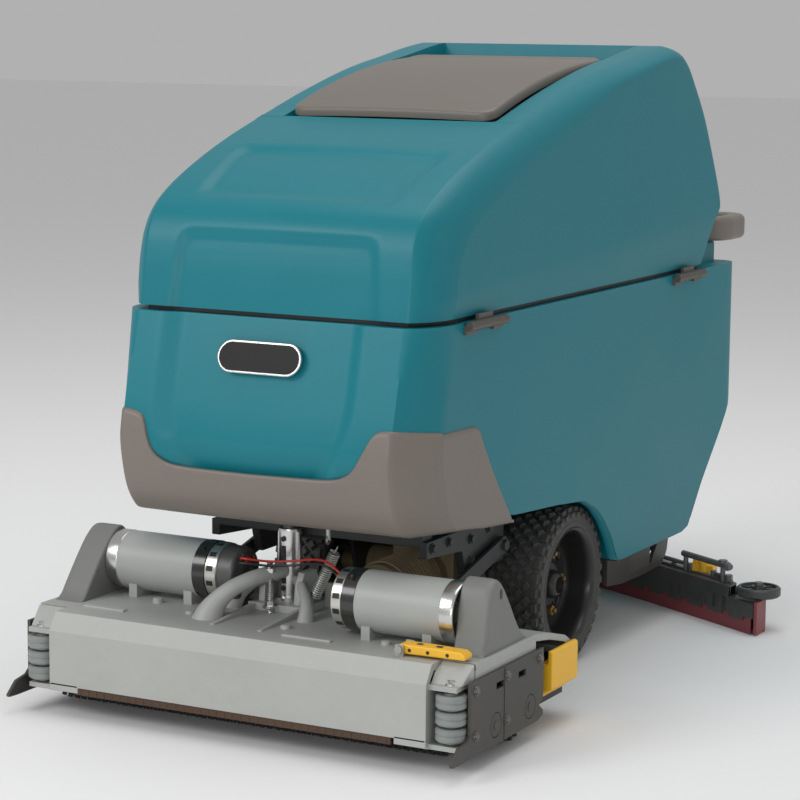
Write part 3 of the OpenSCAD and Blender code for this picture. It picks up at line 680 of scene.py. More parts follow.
def bumper_point(i, j):
    """Point of the bumper's outside, with its edges rolled in."""
    place = bumper_plan[j]
    foot = plan_point(place, 430, 0)
    if place[0] == "front":
        top = read_line(bumper_top if place[1] > 0 else bumper_left, abs(place[1]))
        low = 337
    elif place[0] == "corner":
        top, low = 518 - 10 * abs(place[1]), 337
    else:
        top, low = read_line(bumper_back, foot.y), 336 + (foot.y + 575) * -0.079
    z = low + max(2, top - low) * bumper_rows[i]
    near = min(bumper_rows[i], 1 - bumper_rows[i]) * max(2, top - low)
    out = -2 + 7 * math.sqrt(1 - (1 - min(1, near / 9)) ** 2)
    if place[0] == "side" and foot.y > -345:
        out *= max(0, (-334 - foot.y) / 11)
    return plan_point(place, z, out)


bumper = skin_grid(len(bumper_rows), len(bumper_plan), bumper_point)
bmesh.ops.remove_doubles(bumper, verts=bumper.verts, dist=0.02)
bumper_piece = piece("front_bumper_shell", bumper, taupe, "chassis", ["front_bumper"],
                     sharp=60)
bumper_wall = bumper_piece.modifiers.new("wall", "SOLIDIFY")
bumper_wall.thickness = 0.008
bumper_wall.offset = -1

# ---------------------------------------------------------------- blank badge
# A zinc casting with straight sides and round ends, bright round its rim, glued into the front
# panel; nothing is on it.
FRONT_LEAN = math.atan2(25, 91)


def stadium(half_length, radius, depth, edge):
    """A flat plate with round ends and a rounded upper edge, lying in the XY plane."""
    plate = bmesh.new()
    outline = [(half_length + radius * math.cos(a), radius * math.sin(a)) for a in
               [math.radians(d) for d in range(-90, 91, 6)]]
    outline += [(-x, y) for x, y in reversed(outline)]
    bmesh.ops.contextual_create(plate, geom=[plate.verts.new((x, y, 0)) for x, y in outline])
    top = bmesh.ops.extrude_face_region(plate, geom=list(plate.faces))
    raised = new_verts(top)
    bmesh.ops.translate(plate, verts=raised, vec=(0, 0, depth))
    rim_edges = [e for e in plate.edges if all(abs(v.co.z - depth) < 1e-6 for v in e.verts)
                 and len(e.link_faces) == 2]
    bmesh.ops.bevel(plate, geom=rim_edges, offset=edge, offset_type="OFFSET", segments=3, profile=0.5,
                    affect="EDGES", material=-1)
    return plate


bright = finish("bright_steel", (0.62, 0.62, 0.61), 0.24, metal=1.0, grain=(900, 0.05), mottle=(20, 0.08),
                wear=0.0)
badge_place = Matrix.Translation((-4, -657.3, 611)) @ Matrix.Rotation(math.pi / 2 - FRONT_LEAN, 4, "X")
rim_plate = stadium(51, 27, 5, 1.6)
bmesh.ops.transform(rim_plate, matrix=badge_place, verts=rim_plate.verts)
piece("name_plate_rim", rim_plate, bright, "chassis", ["name_plate"])
charcoal = finish("charcoal_enamel", (0.012, 0.012, 0.013), 0.42, grain=(700, 0.1), wear=0.15, shine=0.25)
field_plate = stadium(51, 23.5, 5.8, 0.8)
bmesh.ops.transform(field_plate, matrix=badge_place, verts=field_plate.verts)
piece("name_plate_field", field_plate, charcoal, "chassis", ["name_plate"])

# ---------------------------------------------------------------- tank hinges
# Two bronze-painted steel hinges on the left side, ribbed barrels on a pin, let the recovery tank
# tip over sideways.


def ribbed_barrel(shape, place, length, radius, ribs):
    """A turned barrel along Y with evenly spaced grooves."""
    rings = []
    step = length / ribs
    for k in range(ribs):
        for at, r in ((0.04, radius - 1.6), (0.2, radius), (0.8, radius), (0.96, radius - 1.6)):
            rings.append((-length / 2 + (k + at) * step, r))
    loops = []
    for y, r in rings:
        loops.append([shape.verts.new((place[0] + r * math.cos(a * math.pi / 12), place[1] + y,
                                       place[2] + r * math.sin(a * math.pi / 12))) for a in range(24)])
    join_loops(shape, loops)


bronze = finish("bronze_paint", (0.115, 0.105, 0.09), 0.42, metal=0.35, grain=(500, 0.12), wear=0.5)
for name, body, stands_for, spots in (
        ("tank_hinge_fixed", "chassis", "tank_hinges", ((-48, 40), (48, 40))),
        ("tank_hinge_moving", "recovery_tank", "hinge_leaves", ((0, 54),))):
    hinge = bmesh.new()
    for hinge_y in (-455, 425):
        for offset, length in spots:
            ribbed_barrel(hinge, (302, hinge_y + offset, 668), length - 0.6, 8, round(length / 6.7))
            top, low = (684, 671) if body == "recovery_tank" else (668, 654)
            box(hinge, (292.3, hinge_y + offset - length / 2 + 1, low),
                (298, hinge_y + offset + length / 2 - 1, top))
    piece(name, hinge, bronze, body, [stands_for], sharp=30)

# ---------------------------------------------------------------- chassis
# Welded plate frame, powder-coated dark grey: two side rails, a front cross beam with the nose
# that holds the lift gear, axle plates and the rear plate of the casters.


def machined(node, name, width, skin, body, angle=32, leave_out=None):
    """A piece cut to the CAD node's own shape, with its edges broken by a small round."""
    shape = bmesh.new()
    shape.from_mesh(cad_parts[node].data)
    bmesh.ops.remove_doubles(shape, verts=shape.verts, dist=2e-5)
    bmesh.ops.dissolve_limit(shape, angle_limit=math.radians(0.5), verts=shape.verts, edges=shape.edges)
    bmesh.ops.scale(shape, vec=(1000, 1000, 1000), verts=shape.verts)
    if leave_out:
        bmesh.ops.delete(shape, geom=[f for f in shape.faces if leave_out(f.calc_center_bounds())],
                         context="FACES")
    made = piece(name, shape, skin, body, [node], sharp=angle, turn_out=False)
    soften(made, width, 2, math.radians(angle))
    return made


def turned(shape, outline, place, axis, sides=64, side=1):
    """A closed turned part. outline is (along the axis, radius) points; side -1 mirrors it."""
    aim = {"X": Matrix.Rotation(math.pi / 2, 4, "Y"), "Y": Matrix.Rotation(-math.pi / 2, 4, "X"),
           "Z": Matrix.Identity(4)}[axis]
    verts = [shape.verts.new((r, 0, side * along)) for along, r in outline]
    edges = [shape.edges.new(pair) for pair in zip(verts, verts[1:] + verts[:1])]
    spun = bmesh.ops.spin(shape, geom=verts + edges, axis=(0, 0, 1), cent=(0, 0, 0), angle=2 * math.pi,
                          steps=sides, use_merge=True)
    faces = {f for v in verts for f in v.link_faces}
    grown = set()
    while faces - grown:
        fresh = faces - grown
        grown |= fresh
        faces |= {f for g in fresh for v in g.verts for f in v.link_faces}
    made = list({v for f in faces for v in f.verts})
    bmesh.ops.transform(shape, matrix=Matrix.Translation(place) @ aim, verts=made)
    return made


powder = finish("powder_coat", (0.03, 0.031, 0.032), 0.46, grain=(900, 0.35), mottle=(8, 0.15), wear=0.35)
black_plastic = finish("black_plastic", (0.014, 0.014, 0.015), 0.42, grain=(600, 0.2), wear=0.2)
machined("chassis_frame", "chassis_weldment", 1.5, powder, "chassis")
machined("tank_gasket", "tank_gasket_strip", 1, black_plastic, "chassis")
machined("battery_tray", "battery_tray_box", 1.2, black_plastic, "chassis")

# bolt heads on the rails
zinc = finish("zinc_plate", (0.42, 0.42, 0.41), 0.34, metal=0.9, grain=(700, 0.1), mottle=(30, 0.1), wear=0.0)
rail_bolts = bmesh.new()
for side in (-1, 1):
    for bolt_y, bolt_z in ((-460, 287), (-400, 287), (-318, 240), (-318, 278), (-250, 285)):
        rod(rail_bolts, (side * 207, bolt_y, bolt_z), (side * 210, bolt_y, bolt_z), 9, 24)
        rod(rail_bolts, (side * 209, bolt_y, bolt_z), (side * 214, bolt_y, bolt_z), 6.5, 6)
piece("rail_bolts", rail_bolts, powder, "chassis", [])

# ---------------------------------------------------------------- batteries
# Six deep-cycle traction batteries in ribbed cases, with vent caps, posts and plated straps. They
# stand in a plastic tray on the floor of the lower tank's well.
battery_case = bmesh.new()
battery_lid = bmesh.new()
battery_posts = bmesh.new()
for column in (0, 1):
    for line in (0, 1, 2):
        x0, y0 = -214 + column * 216, -386 + line * 259
        box(battery_case, (x0 + 2, y0 + 2, 349), (x0 + 210, y0 + 252, 586))
        for rib in range(9):
            box(battery_case, (x0 + 18 + rib * 20, y0 + 0.3, 356), (x0 + 30 + rib * 20, y0 + 253.7, 578))
        box(battery_lid, (x0, y0, 586.4), (x0 + 212, y0 + 254, 606))
        box(battery_lid, (x0 + 74, y0 + 20, 604), (x0 + 138, y0 + 234, 612))
        for cap in range(3):
            rod(battery_lid, (x0 + 106, y0 + 60 + cap * 67, 611), (x0 + 106, y0 + 60 + cap * 67, 618), 15, 20)
        for post in (40, 172):
            rod(battery_posts, (x0 + post, y0 + 36, 605), (x0 + post, y0 + 36, 622), 9, 20, 8)
            rod(battery_posts, (x0 + post, y0 + 36, 618), (x0 + post, y0 + 36, 626), 7, 6)
for line in (0, 1, 2):
    y0 = -350 + line * 259
    box(battery_posts, (-48, y0 - 9, 622), (48, y0 + 9, 624))
piece("battery_cases", battery_case, black_plastic, "chassis", ["batteries"])
piece("battery_lids", battery_lid, charcoal, "chassis", ["batteries"])
piece("battery_posts", battery_posts, zinc, "chassis", ["batteries"])

# ---------------------------------------------------------------- transaxle
# The drive motor and gearbox hang between the wheels from the axle plates: an aluminium casting in
# the maker's tan paint, with cooling fins round the motor and six screws in its end.
tan = finish("tan_paint", (0.36, 0.27, 0.16), 0.4, grain=(300, 0.4), mottle=(9, 0.12), wear=0.5)
machined("transaxle", "transaxle_casing", 4, tan, "chassis")
motor_fins = bmesh.new()
for k in range(12):
    turned(motor_fins, [(0, 48), (0, 54), (3, 54), (3, 48)], (0, -245 + k * 11, 150), "Y", 40)
for a in range(6):
    rod(motor_fins, (30 * math.cos(a * math.pi / 3), -263, 150 + 30 * math.sin(a * math.pi / 3)),
        (30 * math.cos(a * math.pi / 3), -266, 150 + 30 * math.sin(a * math.pi / 3)), 5, 6)
piece("transaxle_fins", motor_fins, tan, "chassis", ["transaxle"])

# ---------------------------------------------------------------- drive wheels
# Turf tyres: staggered pyramid blocks over a smooth carcass, blocks that wrap down the shoulders,
# and a moulded line on the wall. Each rim is a black deep-dish pressing with five brass nuts.


def rubber_finish(name, colour, rough, dust):
    """Rubber with pale dust in its hollows."""
    made = finish(name, colour, rough, grain=(500, 0.35), mottle=(10, 0.2), wear=0.0)
    nodes, link = made.node_tree.nodes, made.node_tree.links.new
    skin = nodes["Principled BSDF"]
    below = skin.inputs["Base Color"].links[0].from_socket
    shape = nodes.new("ShaderNodeNewGeometry")
    hollow = nodes.new("ShaderNodeMapRange")
    hollow.inputs["From Min"].default_value = 0.5
    hollow.inputs["From Max"].default_value = 0.42
    hollow.inputs["To Max"].default_value = dust
    layer = nodes.new("ShaderNodeMix")
    layer.data_type = "RGBA"
    layer.inputs["B"].default_value = (0.2, 0.18, 0.155, 1)
    link(shape.outputs["Pointiness"], hollow.inputs["Value"])
    link(hollow.outputs["Result"], layer.inputs["Factor"])
    link(below, layer.inputs["A"])
    link(layer.outputs["Result"], skin.inputs["Base Color"])
    return made


tyre_rubber = rubber_finish("tyre_rubber", (0.07, 0.068, 0.064), 0.6, 0.55)
rim_black = finish("rim_black", (0.017, 0.017, 0.017), 0.34, grain=(600, 0.15), wear=0.6, coat=0.2)
brass = finish("brass", (0.52, 0.36, 0.14), 0.36, metal=0.85, grain=(600, 0.1), mottle=(30, 0.15), wear=0.0)
AXLE = (-32, 146)      # y and z of the drive axle
TREAD_X = 217.5        # middle of the tread
TREAD_ROWS = 34        # blocks round the tyre


def round_about(centre, radius, turn):
    """The two coordinates of a point on a circle."""
    return centre[0] + radius * math.cos(turn), centre[1] + radius * math.sin(turn)


def tread_block(shape, turn, middle, half_x, half_a, tip, foot_r, top_r):
    """A tapered diamond block on the tread at an angle round the axle."""
    corners = ((-half_x, 0), (0, -half_a), (half_x, 0), (0, half_a))
    rings = []
    for r, grow in ((foot_r, 1.0), (top_r, tip)):
        rings.append([shape.verts.new((middle + dx * grow, *round_about(AXLE, r, turn + da * grow)))
                      for dx, da in corners])
    join_loops(shape, rings)


for side, body in ((1, "left"), (-1, "right")):
    carcass = bmesh.new()
    wall = [(168, 106), (166, 116), (165.5, 126), (169, 134), (180, 138.5), (217, 140), (255, 138.5),
            (266, 134), (269.5, 126), (269, 116), (267, 106), (262, 104), (173, 104)]
    turned(carcass, wall, (0, *AXLE), "X", 72, side)
    turned(carcass, [(268.2, 114), (270, 115), (270, 118), (268.4, 119)], (0, *AXLE), "X", 72, side)
    pitch = 2 * math.pi / TREAD_ROWS
    for k in range(TREAD_ROWS):
        for column in range(-2, 3):
            turn = (k + 0.5 * (column % 2)) * pitch
            tread_block(carcass, turn, side * (TREAD_X + column * 13.5), 12, pitch * 0.44, 0.55, 138.0, 145.9)
        for edge in (-1, 1):
            for outer, inner, low_r, high_r, half in ((52.4, 41, 122, 134, 0.24),
                                                      (46.4, 37, 131, 143.5, 0.30)):
                ring = []
                for off, r, e in itertools.product((outer, inner), (low_r, high_r), (-1, 1)):
                    x = side * (TREAD_X + edge * off)
                    y, z = round_about(AXLE, r, (k + 0.5 + e * half) * pitch)
                    ring.append(carcass.verts.new((x, y, z)))
                bmesh.ops.convex_hull(carcass, input=ring)
    piece(body + "_tyre_tread", carcass, tyre_rubber, body + "_wheel", [body + "_tyre"],
          sharp=25)

    dish = bmesh.new()
    pressing = [(172, 108), (170, 104), (174, 100), (190, 95), (201, 92), (205, 86), (205, 44), (197, 40),
                (196, 15.2), (226, 15.2), (226, 38), (223, 41), (213, 42), (211, 60), (211, 78), (214, 90),
                (224, 95), (250, 96), (262, 99), (267, 103), (268.5, 107), (266, 109), (262, 108)]
    turned(dish, pressing, (0, *AXLE), "X", 72, side)
    for k in range(5):
        hole = round_about(AXLE, 70, math.radians(36 + 72 * k))
        turned(dish, [(210, 9), (210, 12.5), (213.5, 12), (214.5, 10.5), (213, 9)], (0, *hole), "X", 24, side)
    piece(body + "_rim_dish", dish, rim_black, body + "_wheel", [body + "_rim"])

    nuts = bmesh.new()
    for k in range(5):
        y, z = round_about(AXLE, 55, math.radians(72 * k))
        rod(nuts, (side * 210, y, z), (side * 214, y, z), 12, 24, 10.5)
        rod(nuts, (side * 213, y, z), (side * 225, y, z), 9.5, 6)
        rod(nuts, (side * 220, y, z), (side * 231, y, z), 5, 16, 4)
    piece(body + "_wheel_nuts", nuts, brass, body + "_wheel", [body + "_rim"])

    hub = bmesh.new()
    turned(hub, [(224, 15.3), (224, 27), (236, 25), (243, 20), (245, 15.3)], (0, *AXLE), "X", 36, side)
    piece(body + "_wheel_hub", hub, rim_black, body + "_wheel", [body + "_rim"])

# ---------------------------------------------------------------- casters
# Two zinc-plated swivel forks under the rear plate of the chassis, each with a grey polyurethane
# wheel on a turned hub.
grey_tyre = rubber_finish("caster_tyre", (0.075, 0.075, 0.075), 0.5, 0.3)
for side, name in ((1, "left"), (-1, "right")):
    machined(name + "_caster_fork", name + "_fork", 1.2, zinc, name + "_caster")
    wheel = bmesh.new()
    turned(wheel, [(-16, 34), (-15, 46), (-11, 49.6), (11, 49.6), (15, 46), (16, 34), (9, 31), (9, 14),
                   (20, 13), (20, 8.1), (-20, 8.1), (-20, 13), (-9, 14), (-9, 31)], (side * 115, 325, 50),
           "X", 56)
    own = name + "_caster_wheel"
    piece(name + "_caster_roller", wheel, grey_tyre, own, [own])

# ---------------------------------------------------------------- scrub head deck
# A grey-enamelled aluminium casting: a flat front apron, a deck that arches down at the back, a
# belt tower at each end, saddles under the motors and a ribbed yoke for the lift post.
cast = finish("cast_aluminium", (0.41, 0.42, 0.4), 0.5, metal=0.1, grain=(260, 0.55), mottle=(7, 0.1),
              wear=0.35)
# The belt towers are part of the same grey casting; this copy at half the brightness is painted shade on
# their side faces.
tower_painted_shade = finish("tower_casting_painted_shade", (0.2, 0.205, 0.195), 0.5, metal=0.1, grain=(260, 0.55), mottle=(7, 0.1),
                    wear=0.35)
machined("head_deck", "head_deck_casting", 2.5, cast, "scrub_head", angle=28,
         leave_out=lambda middle: abs(middle.x) > 348 and middle.z > 173)



def hull(shape, points):
    """The smallest solid round some points, added to a shape."""
    bmesh.ops.convex_hull(shape, input=[shape.verts.new(p) for p in points])


deck_detail = bmesh.new()
# stiffening strips and shallow pads on the deck
for x0, x1, y0, y1 in ((-330, -250, -690, -676), (60, 150, -700, -690), (150, 215, -480, -468),
                       (-215, -150, -470, -458)):
    box(deck_detail, (x0, y0, 170), (x1, y1, 175.5))
# curved legs that carry the front of the yoke, thick at the deck and thin at the post
for leg in ([(-112, -648, 160, 29), (-108, -644, 178, 24), (-97, -636, 200, 17), (-78, -620, 220, 14),
             (-56, -590, 233, 13), (-42, -550, 236, 13), (-38, -525, 236, 13)],
            [(-118, -560, 165, 17), (-106, -556, 192, 12), (-84, -546, 214, 10), (-60, -529, 224, 10),
             (-50, -520, 225, 10)], [(44, -596, 165, 15), (38, -580, 190, 11), (20, -556, 208, 9),
                                     (-4, -526, 216, 9), (-19, -514, 218, 9)]):
    path = round_line(leg, 5)
    round_bar(deck_detail, [p[:3] for p in path], [p[3] for p in path], 24, Vector((1, 0, 0)))
# side walls down to the plates, and the gussets over the corner rollers
gusset = [(352, -704, 171), (409, -704, 171), (352, -704, 142), (409, -704, 142), (352, -742, 142),
          (402, -738, 142), (352, -730, 158), (392, -728, 152)]
for side in (-1, 1):
    box(deck_detail, (side * 399, -700, 124), (side * 409.4, -482, 171))
    hull(deck_detail, [(side * x, y, z) for x, y, z in gusset])
    box(deck_detail, (side * 296, -757, 42), (side * 352, -749.5, 56))
# arched webs from the yoke out to the towers
for start, step, count, peak, fall, power, y in ((-60, -26, 10, 226, 46, 1.6, -494),
                                                 (20, 22, 8, 214, 38, 1.5, -488)):
    arch = [(start + step * k, peak - fall * (k / count) ** power) for k in range(count + 1)]
    for (xa, za), (xb, zb) in zip(arch, arch[1:]):
        hull(deck_detail, [(x, at, z) for x, top in ((xa, za), (xb, zb)) for at in (y, y + 10)
                           for z in (168, top)])
# yoke cheeks either side of the post, and cast bosses
cheek = [(-545, 180), (-470, 180), (-528, 236), (-488, 236), (-540, 214), (-478, 214)]
for x0, x1 in ((-76, -64), (-8, 4)):
    hull(deck_detail, [(x, y, z) for x in (x0, x1) for y, z in cheek])
for x, y, low, high, r in ((312, -668, 168, 180, 11), (232, -664, 168, 178, 9), (-240, -600, 168, 180, 10),
                           (-150, -640, 168, 177, 9), (40, -650, 168, 178, 10), (110, -520, 168, 182, 12),
                           (-180, -500, 168, 180, 10), (-300, -490, 168, 178, 10), (260, -540, 168, 180, 11)):
    rod(deck_detail, (x, y, low), (x, y, high), r, 28, r * 0.82)
detail_piece = piece("head_deck_ribs", deck_detail, cast, "scrub_head", ["head_deck"],
                     sharp=30)
soften(detail_piece, 1.6, 2, math.radians(35))

# belt towers: hollow fins with a flared foot, rounded over the top; a flat black oval on each stands for the
# sight hole, painted shade in place of the dark opening
for side, name, fin, hole in ((1, "left", [(-682, 170), (-667, 174), (-657, 200), (-648, 245), (-637, 274),
                                           (-617, 287), (-598, 279), (-572, 249), (-546, 213), (-527, 190),
                                           (-510, 175), (-494, 170)], (-606, 262)),
                              (-1, "right", [(-682, 170), (-660, 176), (-636, 204), (-606, 240), (-578, 269),
                                             (-553, 284), (-533, 280), (-520, 262), (-509, 225), (-500, 190),
                                             (-492, 175), (-482, 170)], (-556, 262))):
    line = round_line(fin, 5)
    tower = bmesh.new()
    loops = []
    for x, inset in ((350, 5), (351, 2), (354, 0), (390, 0), (398, 1), (402, 3.5), (404.5, 8), (404.8, 12)):
        loop = []
        for k, (y, z) in enumerate(line):
            before, after = line[max(0, k - 1)], line[min(len(line) - 1, k + 1)]
            ahead = Vector((after[0] - before[0], after[1] - before[1])).normalized()
            reach = inset * min(1, max(0, (z - 171) / 12))
            loop.append(tower.verts.new((side * x, y + ahead.y * reach, z - ahead.x * reach)))
        loops.append(loop)
    join_loops(tower, loops, closed=False)
    piece(name + "_belt_tower", tower, tower_painted_shade, "scrub_head", ["head_deck"], sharp=48)
    # A flat black oval laid on the tower's face: painted shade where the sight hole opens into the tower.
    hole_shade = bmesh.new()
    rod(hole_shade, (side * 403, *hole), (side * 405.4, *hole), 7, 32)
    bmesh.ops.scale(hole_shade, vec=(1, 0.62, 1.2), verts=hole_shade.verts,
                    space=Matrix.Translation((0, -hole[0], -hole[1])))
    piece(name + "_tower_hole_shade", hole_shade, black_plastic, "scrub_head", ["head_deck"])

# threaded guide rod with its nuts beside the post
guide = bmesh.new()
thread = [(170, 0.5), (170, 5.2)]
for k in range(26):
    thread += [(172 + k * 3.2, 5.5), (173.6 + k * 3.2, 4.8)]
thread += [(256, 5.5), (258, 4), (258, 0.5)]
turned(guide, thread, (-40, -566, 0), "Z", 24)
rod(guide, (-40, -566, 184), (-40, -566, 192), 9, 6)
rod(guide, (-40, -566, 240), (-40, -566, 247), 9, 6)
rod(guide, (-40, -566, 180), (-40, -566, 184), 12, 28)
piece("deck_guide_rod", guide, bright, "scrub_head", [])

# ---------------------------------------------------------------- side plates
# Dark steel plates screwed over the ends of the head, each with a curled skid at the front and the
# caps of the two brush bearings.
plate_steel = finish("plate_steel", (0.075, 0.072, 0.064), 0.44, metal=0.45, grain=(500, 0.2),
                     mottle=(9, 0.2), wear=0.5)
machined("side_plates", "head_side_plates", 0.8, plate_steel, "scrub_head")
FRONT_BRUSH = -641     # y of the brush axles
REAR_BRUSH = -516
BRUSH_Z = 61           # their height above the floor
plate_trim = bmesh.new()
bearing_cap = [(409, 0.5), (409, 19.2), (415.4, 19.2), (416, 18.4), (416, 8), (417.4, 7), (417.4, 0.5)]
for side in (-1, 1):
    box(plate_trim, (side * 409.9, -612, 30), (side * 416.9, -610.4, 147))
    for y in (FRONT_BRUSH, REAR_BRUSH):
        turned(plate_trim, bearing_cap, (0, y, BRUSH_Z), "X", 40, side)
piece("side_plate_trim", plate_trim, plate_steel, "scrub_head", ["side_plates"])

screw_steel = finish("screw_steel", (0.14, 0.138, 0.13), 0.36, metal=0.8, grain=(500, 0.1), wear=0.3)
screws = bmesh.new()
for side in (-1, 1):
    for y, z in ((-712, 132), (-712, 60), (-602, 132), (-602, 60), (-480, 132)):
        rod(screws, (side * 416, y, z), (side * 418, y, z), 8.5, 28, 8)
        rod(screws, (side * 417.6, y, z), (side * 420.6, y, z), 5.6, 28, 4.8)
piece("head_screws", screws, screw_steel, "scrub_head", ["head_bolts"])

# ---------------------------------------------------------------- brush motors
# Two permanent-magnet motors lie across the deck. Each is a painted can between a black sleeve
# and a bright band, with a cast end cap that has cooling slots and two terminals.
can_paint = finish("motor_paint", (0.38, 0.395, 0.38), 0.4, grain=(600, 0.12), mottle=(12, 0.05), wear=0.3)
cap_metal = finish("motor_cap", (0.62, 0.6, 0.56), 0.3, metal=0.9, grain=(400, 0.15), wear=0.2)
end_grey = finish("motor_end", (0.1, 0.1, 0.098), 0.42, metal=0.3, grain=(400, 0.3), wear=0.5)
sleeve_black = finish("motor_sleeve", (0.02, 0.019, 0.018), 0.22, grain=(500, 0.05), wear=0.1, coat=0.5)
copper = finish("copper", (0.5, 0.22, 0.1), 0.35, metal=0.9, grain=(600, 0.1), wear=0.0)
MOTOR_Z = 228          # height of both motor shafts
FRONT_SHAFT = -618     # their y
REAR_SHAFT = -548
for side, name, y, near in ((1, "front", FRONT_SHAFT, 131), (-1, "rear", REAR_SHAFT, 95)):
    node = name + "_motor"
    shaft = (0, y, MOTOR_Z)
    can = bmesh.new()
    turned(can, [(172, 20), (172, 49.2), (175, 50), (325, 50), (328, 49), (328, 20)], shaft, "X", 72, side)
    piece(name + "_motor_can", can, can_paint, "scrub_head", [node])

    cap = bmesh.new()
    front = max(near, 128)
    turned(cap, [(front, 38), (front, 47), (front + 1.5, 48.6), (150.2, 48.6), (150.2, 38)], shaft, "X", 72,
           side)
    piece(name + "_motor_ring", cap, cap_metal, "scrub_head", [node])

    end = bmesh.new()
    turned(end, [(near + 3, 0.5), (near + 3, 15), (near, 16), (near, 23), (near + 2, 28), (near + 2, 40),
                 (near + 5, 44.5), (near + 9, 46), (130, 46), (152, 46), (152, 0.5)], shaft, "X", 72, side)
    for a in (20, 110, 200, 290):
        screw = round_about(shaft[1:], 35, math.radians(a))
        rod(end, (side * (near + 4), *screw), (side * (near - 1), *screw), 4.6, 6)
    for k in range(3):
        plug = round_about(shaft[1:], 30, k * 2.1)
        rod(end, (side * (near + 4), *plug), (side * (near + 1), *plug), 5.5, 20)
    piece(name + "_motor_cap", end, end_grey, "scrub_head", [node])

    slots = bmesh.new()
    for k in range(12):
        turn = Matrix.Rotation(math.radians(30 * k + 15), 4, "X")
        bmesh.ops.transform(slots, verts=box(slots, (-6, -4.4, 48.2), (6, 4.4, 49.1)),
                            matrix=Matrix.Translation((side * 141, y, MOTOR_Z)) @ turn)
    piece(name + "_motor_slots", slots, black_plastic, "scrub_head", [node])

    terminals = bmesh.new()
    for e in (-1, 1):
        rod(terminals, (side * (near + 5), y + e * 14, 254), (side * (near - 7), y + e * 14, 254), 3, 12)
        rod(terminals, (side * (near + 1), y + e * 14, 254), (side * (near - 3), y + e * 14, 254), 5.5, 6)
    piece(name + "_motor_terminals", terminals, copper, "scrub_head", [node])

    sleeve = bmesh.new()
    turned(sleeve, [(150, 46), (150, 49.6), (151, 50.4), (174, 50.4), (175, 49.6), (175, 46)], shaft, "X", 72,
            side)
    rod(sleeve, (side * 162.5, y - 30, 269), (side * 162.5, y - 34, 273), 3.4, 16)
    piece(name + "_motor_sleeve", sleeve, sleeve_black, "scrub_head", ["motor_bands"])

    bands = bmesh.new()
    turned(bands, [(326, 46), (326, 49.8), (327.5, 50.6), (346.5, 50.6), (349.6, 48.5), (349.6, 46)],
           shaft, "X", 72, side)
    piece(name + "_motor_bands", bands, bright, "scrub_head", ["motor_bands"])

# ---------------------------------------------------------------- brush skirt
# A brown rubber strip screwed under the apron, with a rough lower edge, and another behind the rear
# brush. Both keep the spray under the head.
skirt_rubber = rubber_finish("skirt_rubber", (0.075, 0.04, 0.022), 0.6, 0.35)
skirt = bmesh.new()
box(skirt, (-300, -755.5, 40), (290, -750.2, 54))
box(skirt, (-345, -321, 24), (345, -315.4, 72))
for k in range(38):
    x = -296 + k * 15.5
    box(skirt, (x - 6, -756, 41 + (k * 7 % 3)), (x + 6, -755, 50))
piece("brush_skirt_strip", skirt, skirt_rubber, "scrub_head", ["brush_skirt"])

# ---------------------------------------------------------------- lift post, rod and spring
# The head hangs from an actuator: a slotted chrome tube slides over the threaded rod, and a coil
# spring beside it takes part of the head's weight.
POST = (-36, -508, 0)  # foot of the lift post's axis
tube = bmesh.new()
turned(tube, [(184, 20), (184, 28), (190, 28), (191, 20), (300, 20), (306, 19), (306, 13.2), (184, 13.2)],
       POST, "Z", 48)
piece("lift_tube_sleeve", tube, bright, "scrub_head", ["lift_tube"])
slot_cover = bmesh.new()
box(slot_cover, (-40, -528.6, 214), (-32, -526.5, 278))
for z in (206, 290):
    rod(slot_cover, (-36, -527, z), (-36, -530.5, z), 5, 6)
piece("lift_tube_slot", slot_cover, black_plastic, "scrub_head", ["lift_tube"])

actuator = bmesh.new()
thread = [(238, 0.5), (238, 12.2)]
for k in range(37):
    thread += [(239.5 + k * 3, 12.9), (241 + k * 3, 11.6)]
thread += [(350, 12.9), (350, 0.5)]
turned(actuator, thread, POST, "Z", 32)
turned(actuator, [(350, 0.5), (350, 17), (356, 22), (372, 24), (372, 30), (410, 30), (412, 28), (412, 0.5)],
       POST, "Z", 48)
box(actuator, (-58, -530, 373), (54, -486, 403))
rod(actuator, (55, -538, 300), (55, -538, 350), 4, 20)
turned(actuator, [(-2, 5), (0, 9), (2, 5)], (55, -538, 300), "X", 28)
piece("lift_actuator_gear", actuator, zinc, "chassis", ["lift_actuator"])

spring = bmesh.new()
low_end, high_end = Vector((25, -538, 190)), Vector((73, -538, 290))
along = (high_end - low_end).normalized()
across_a = along.cross(Vector((0, 1, 0))).normalized()
across_b = along.cross(across_a)
turns, steps = 22, 20
coil = []
for k in range(turns * steps + 1):
    a = 2 * math.pi * k / steps
    rise = 12 + ((high_end - low_end).length - 24) * k / (turns * steps)
    coil.append(low_end + along * rise + (across_a * math.cos(a) + across_b * math.sin(a)) * 8.2)
round_bar(spring, coil, [1.7] * len(coil), 6, along)
for end, sign in ((low_end, 1), (high_end, -1)):
    rod(spring, end, end + along * sign * 13, 1.3, 10)
    rod(spring, end + along * sign * 12, end + along * sign * 12 + across_a * 7.6, 1.3, 10)
spring_steel = finish("spring_steel", (0.4, 0.4, 0.37), 0.34, metal=0.75, grain=(600, 0.1), wear=0.3)
spring_piece = piece("lift_spring_coil", spring, spring_steel, None, ["lift_spring"])
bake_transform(spring_piece)

# ---------------------------------------------------------------- motor wires
# A red and a black lead run over the deck from motor to motor and push on to their terminals with
# red plugs.


def wire_piece(name, points, radius, skin):
    """One motor lead: a round wire along a smooth line."""
    line = round_line(points, 6)
    shape = bmesh.new()
    round_bar(shape, line, [radius] * len(line), 8, Vector((0, 0, 1)))
    piece(name, shape, skin, "scrub_head", ["motor_wires"])


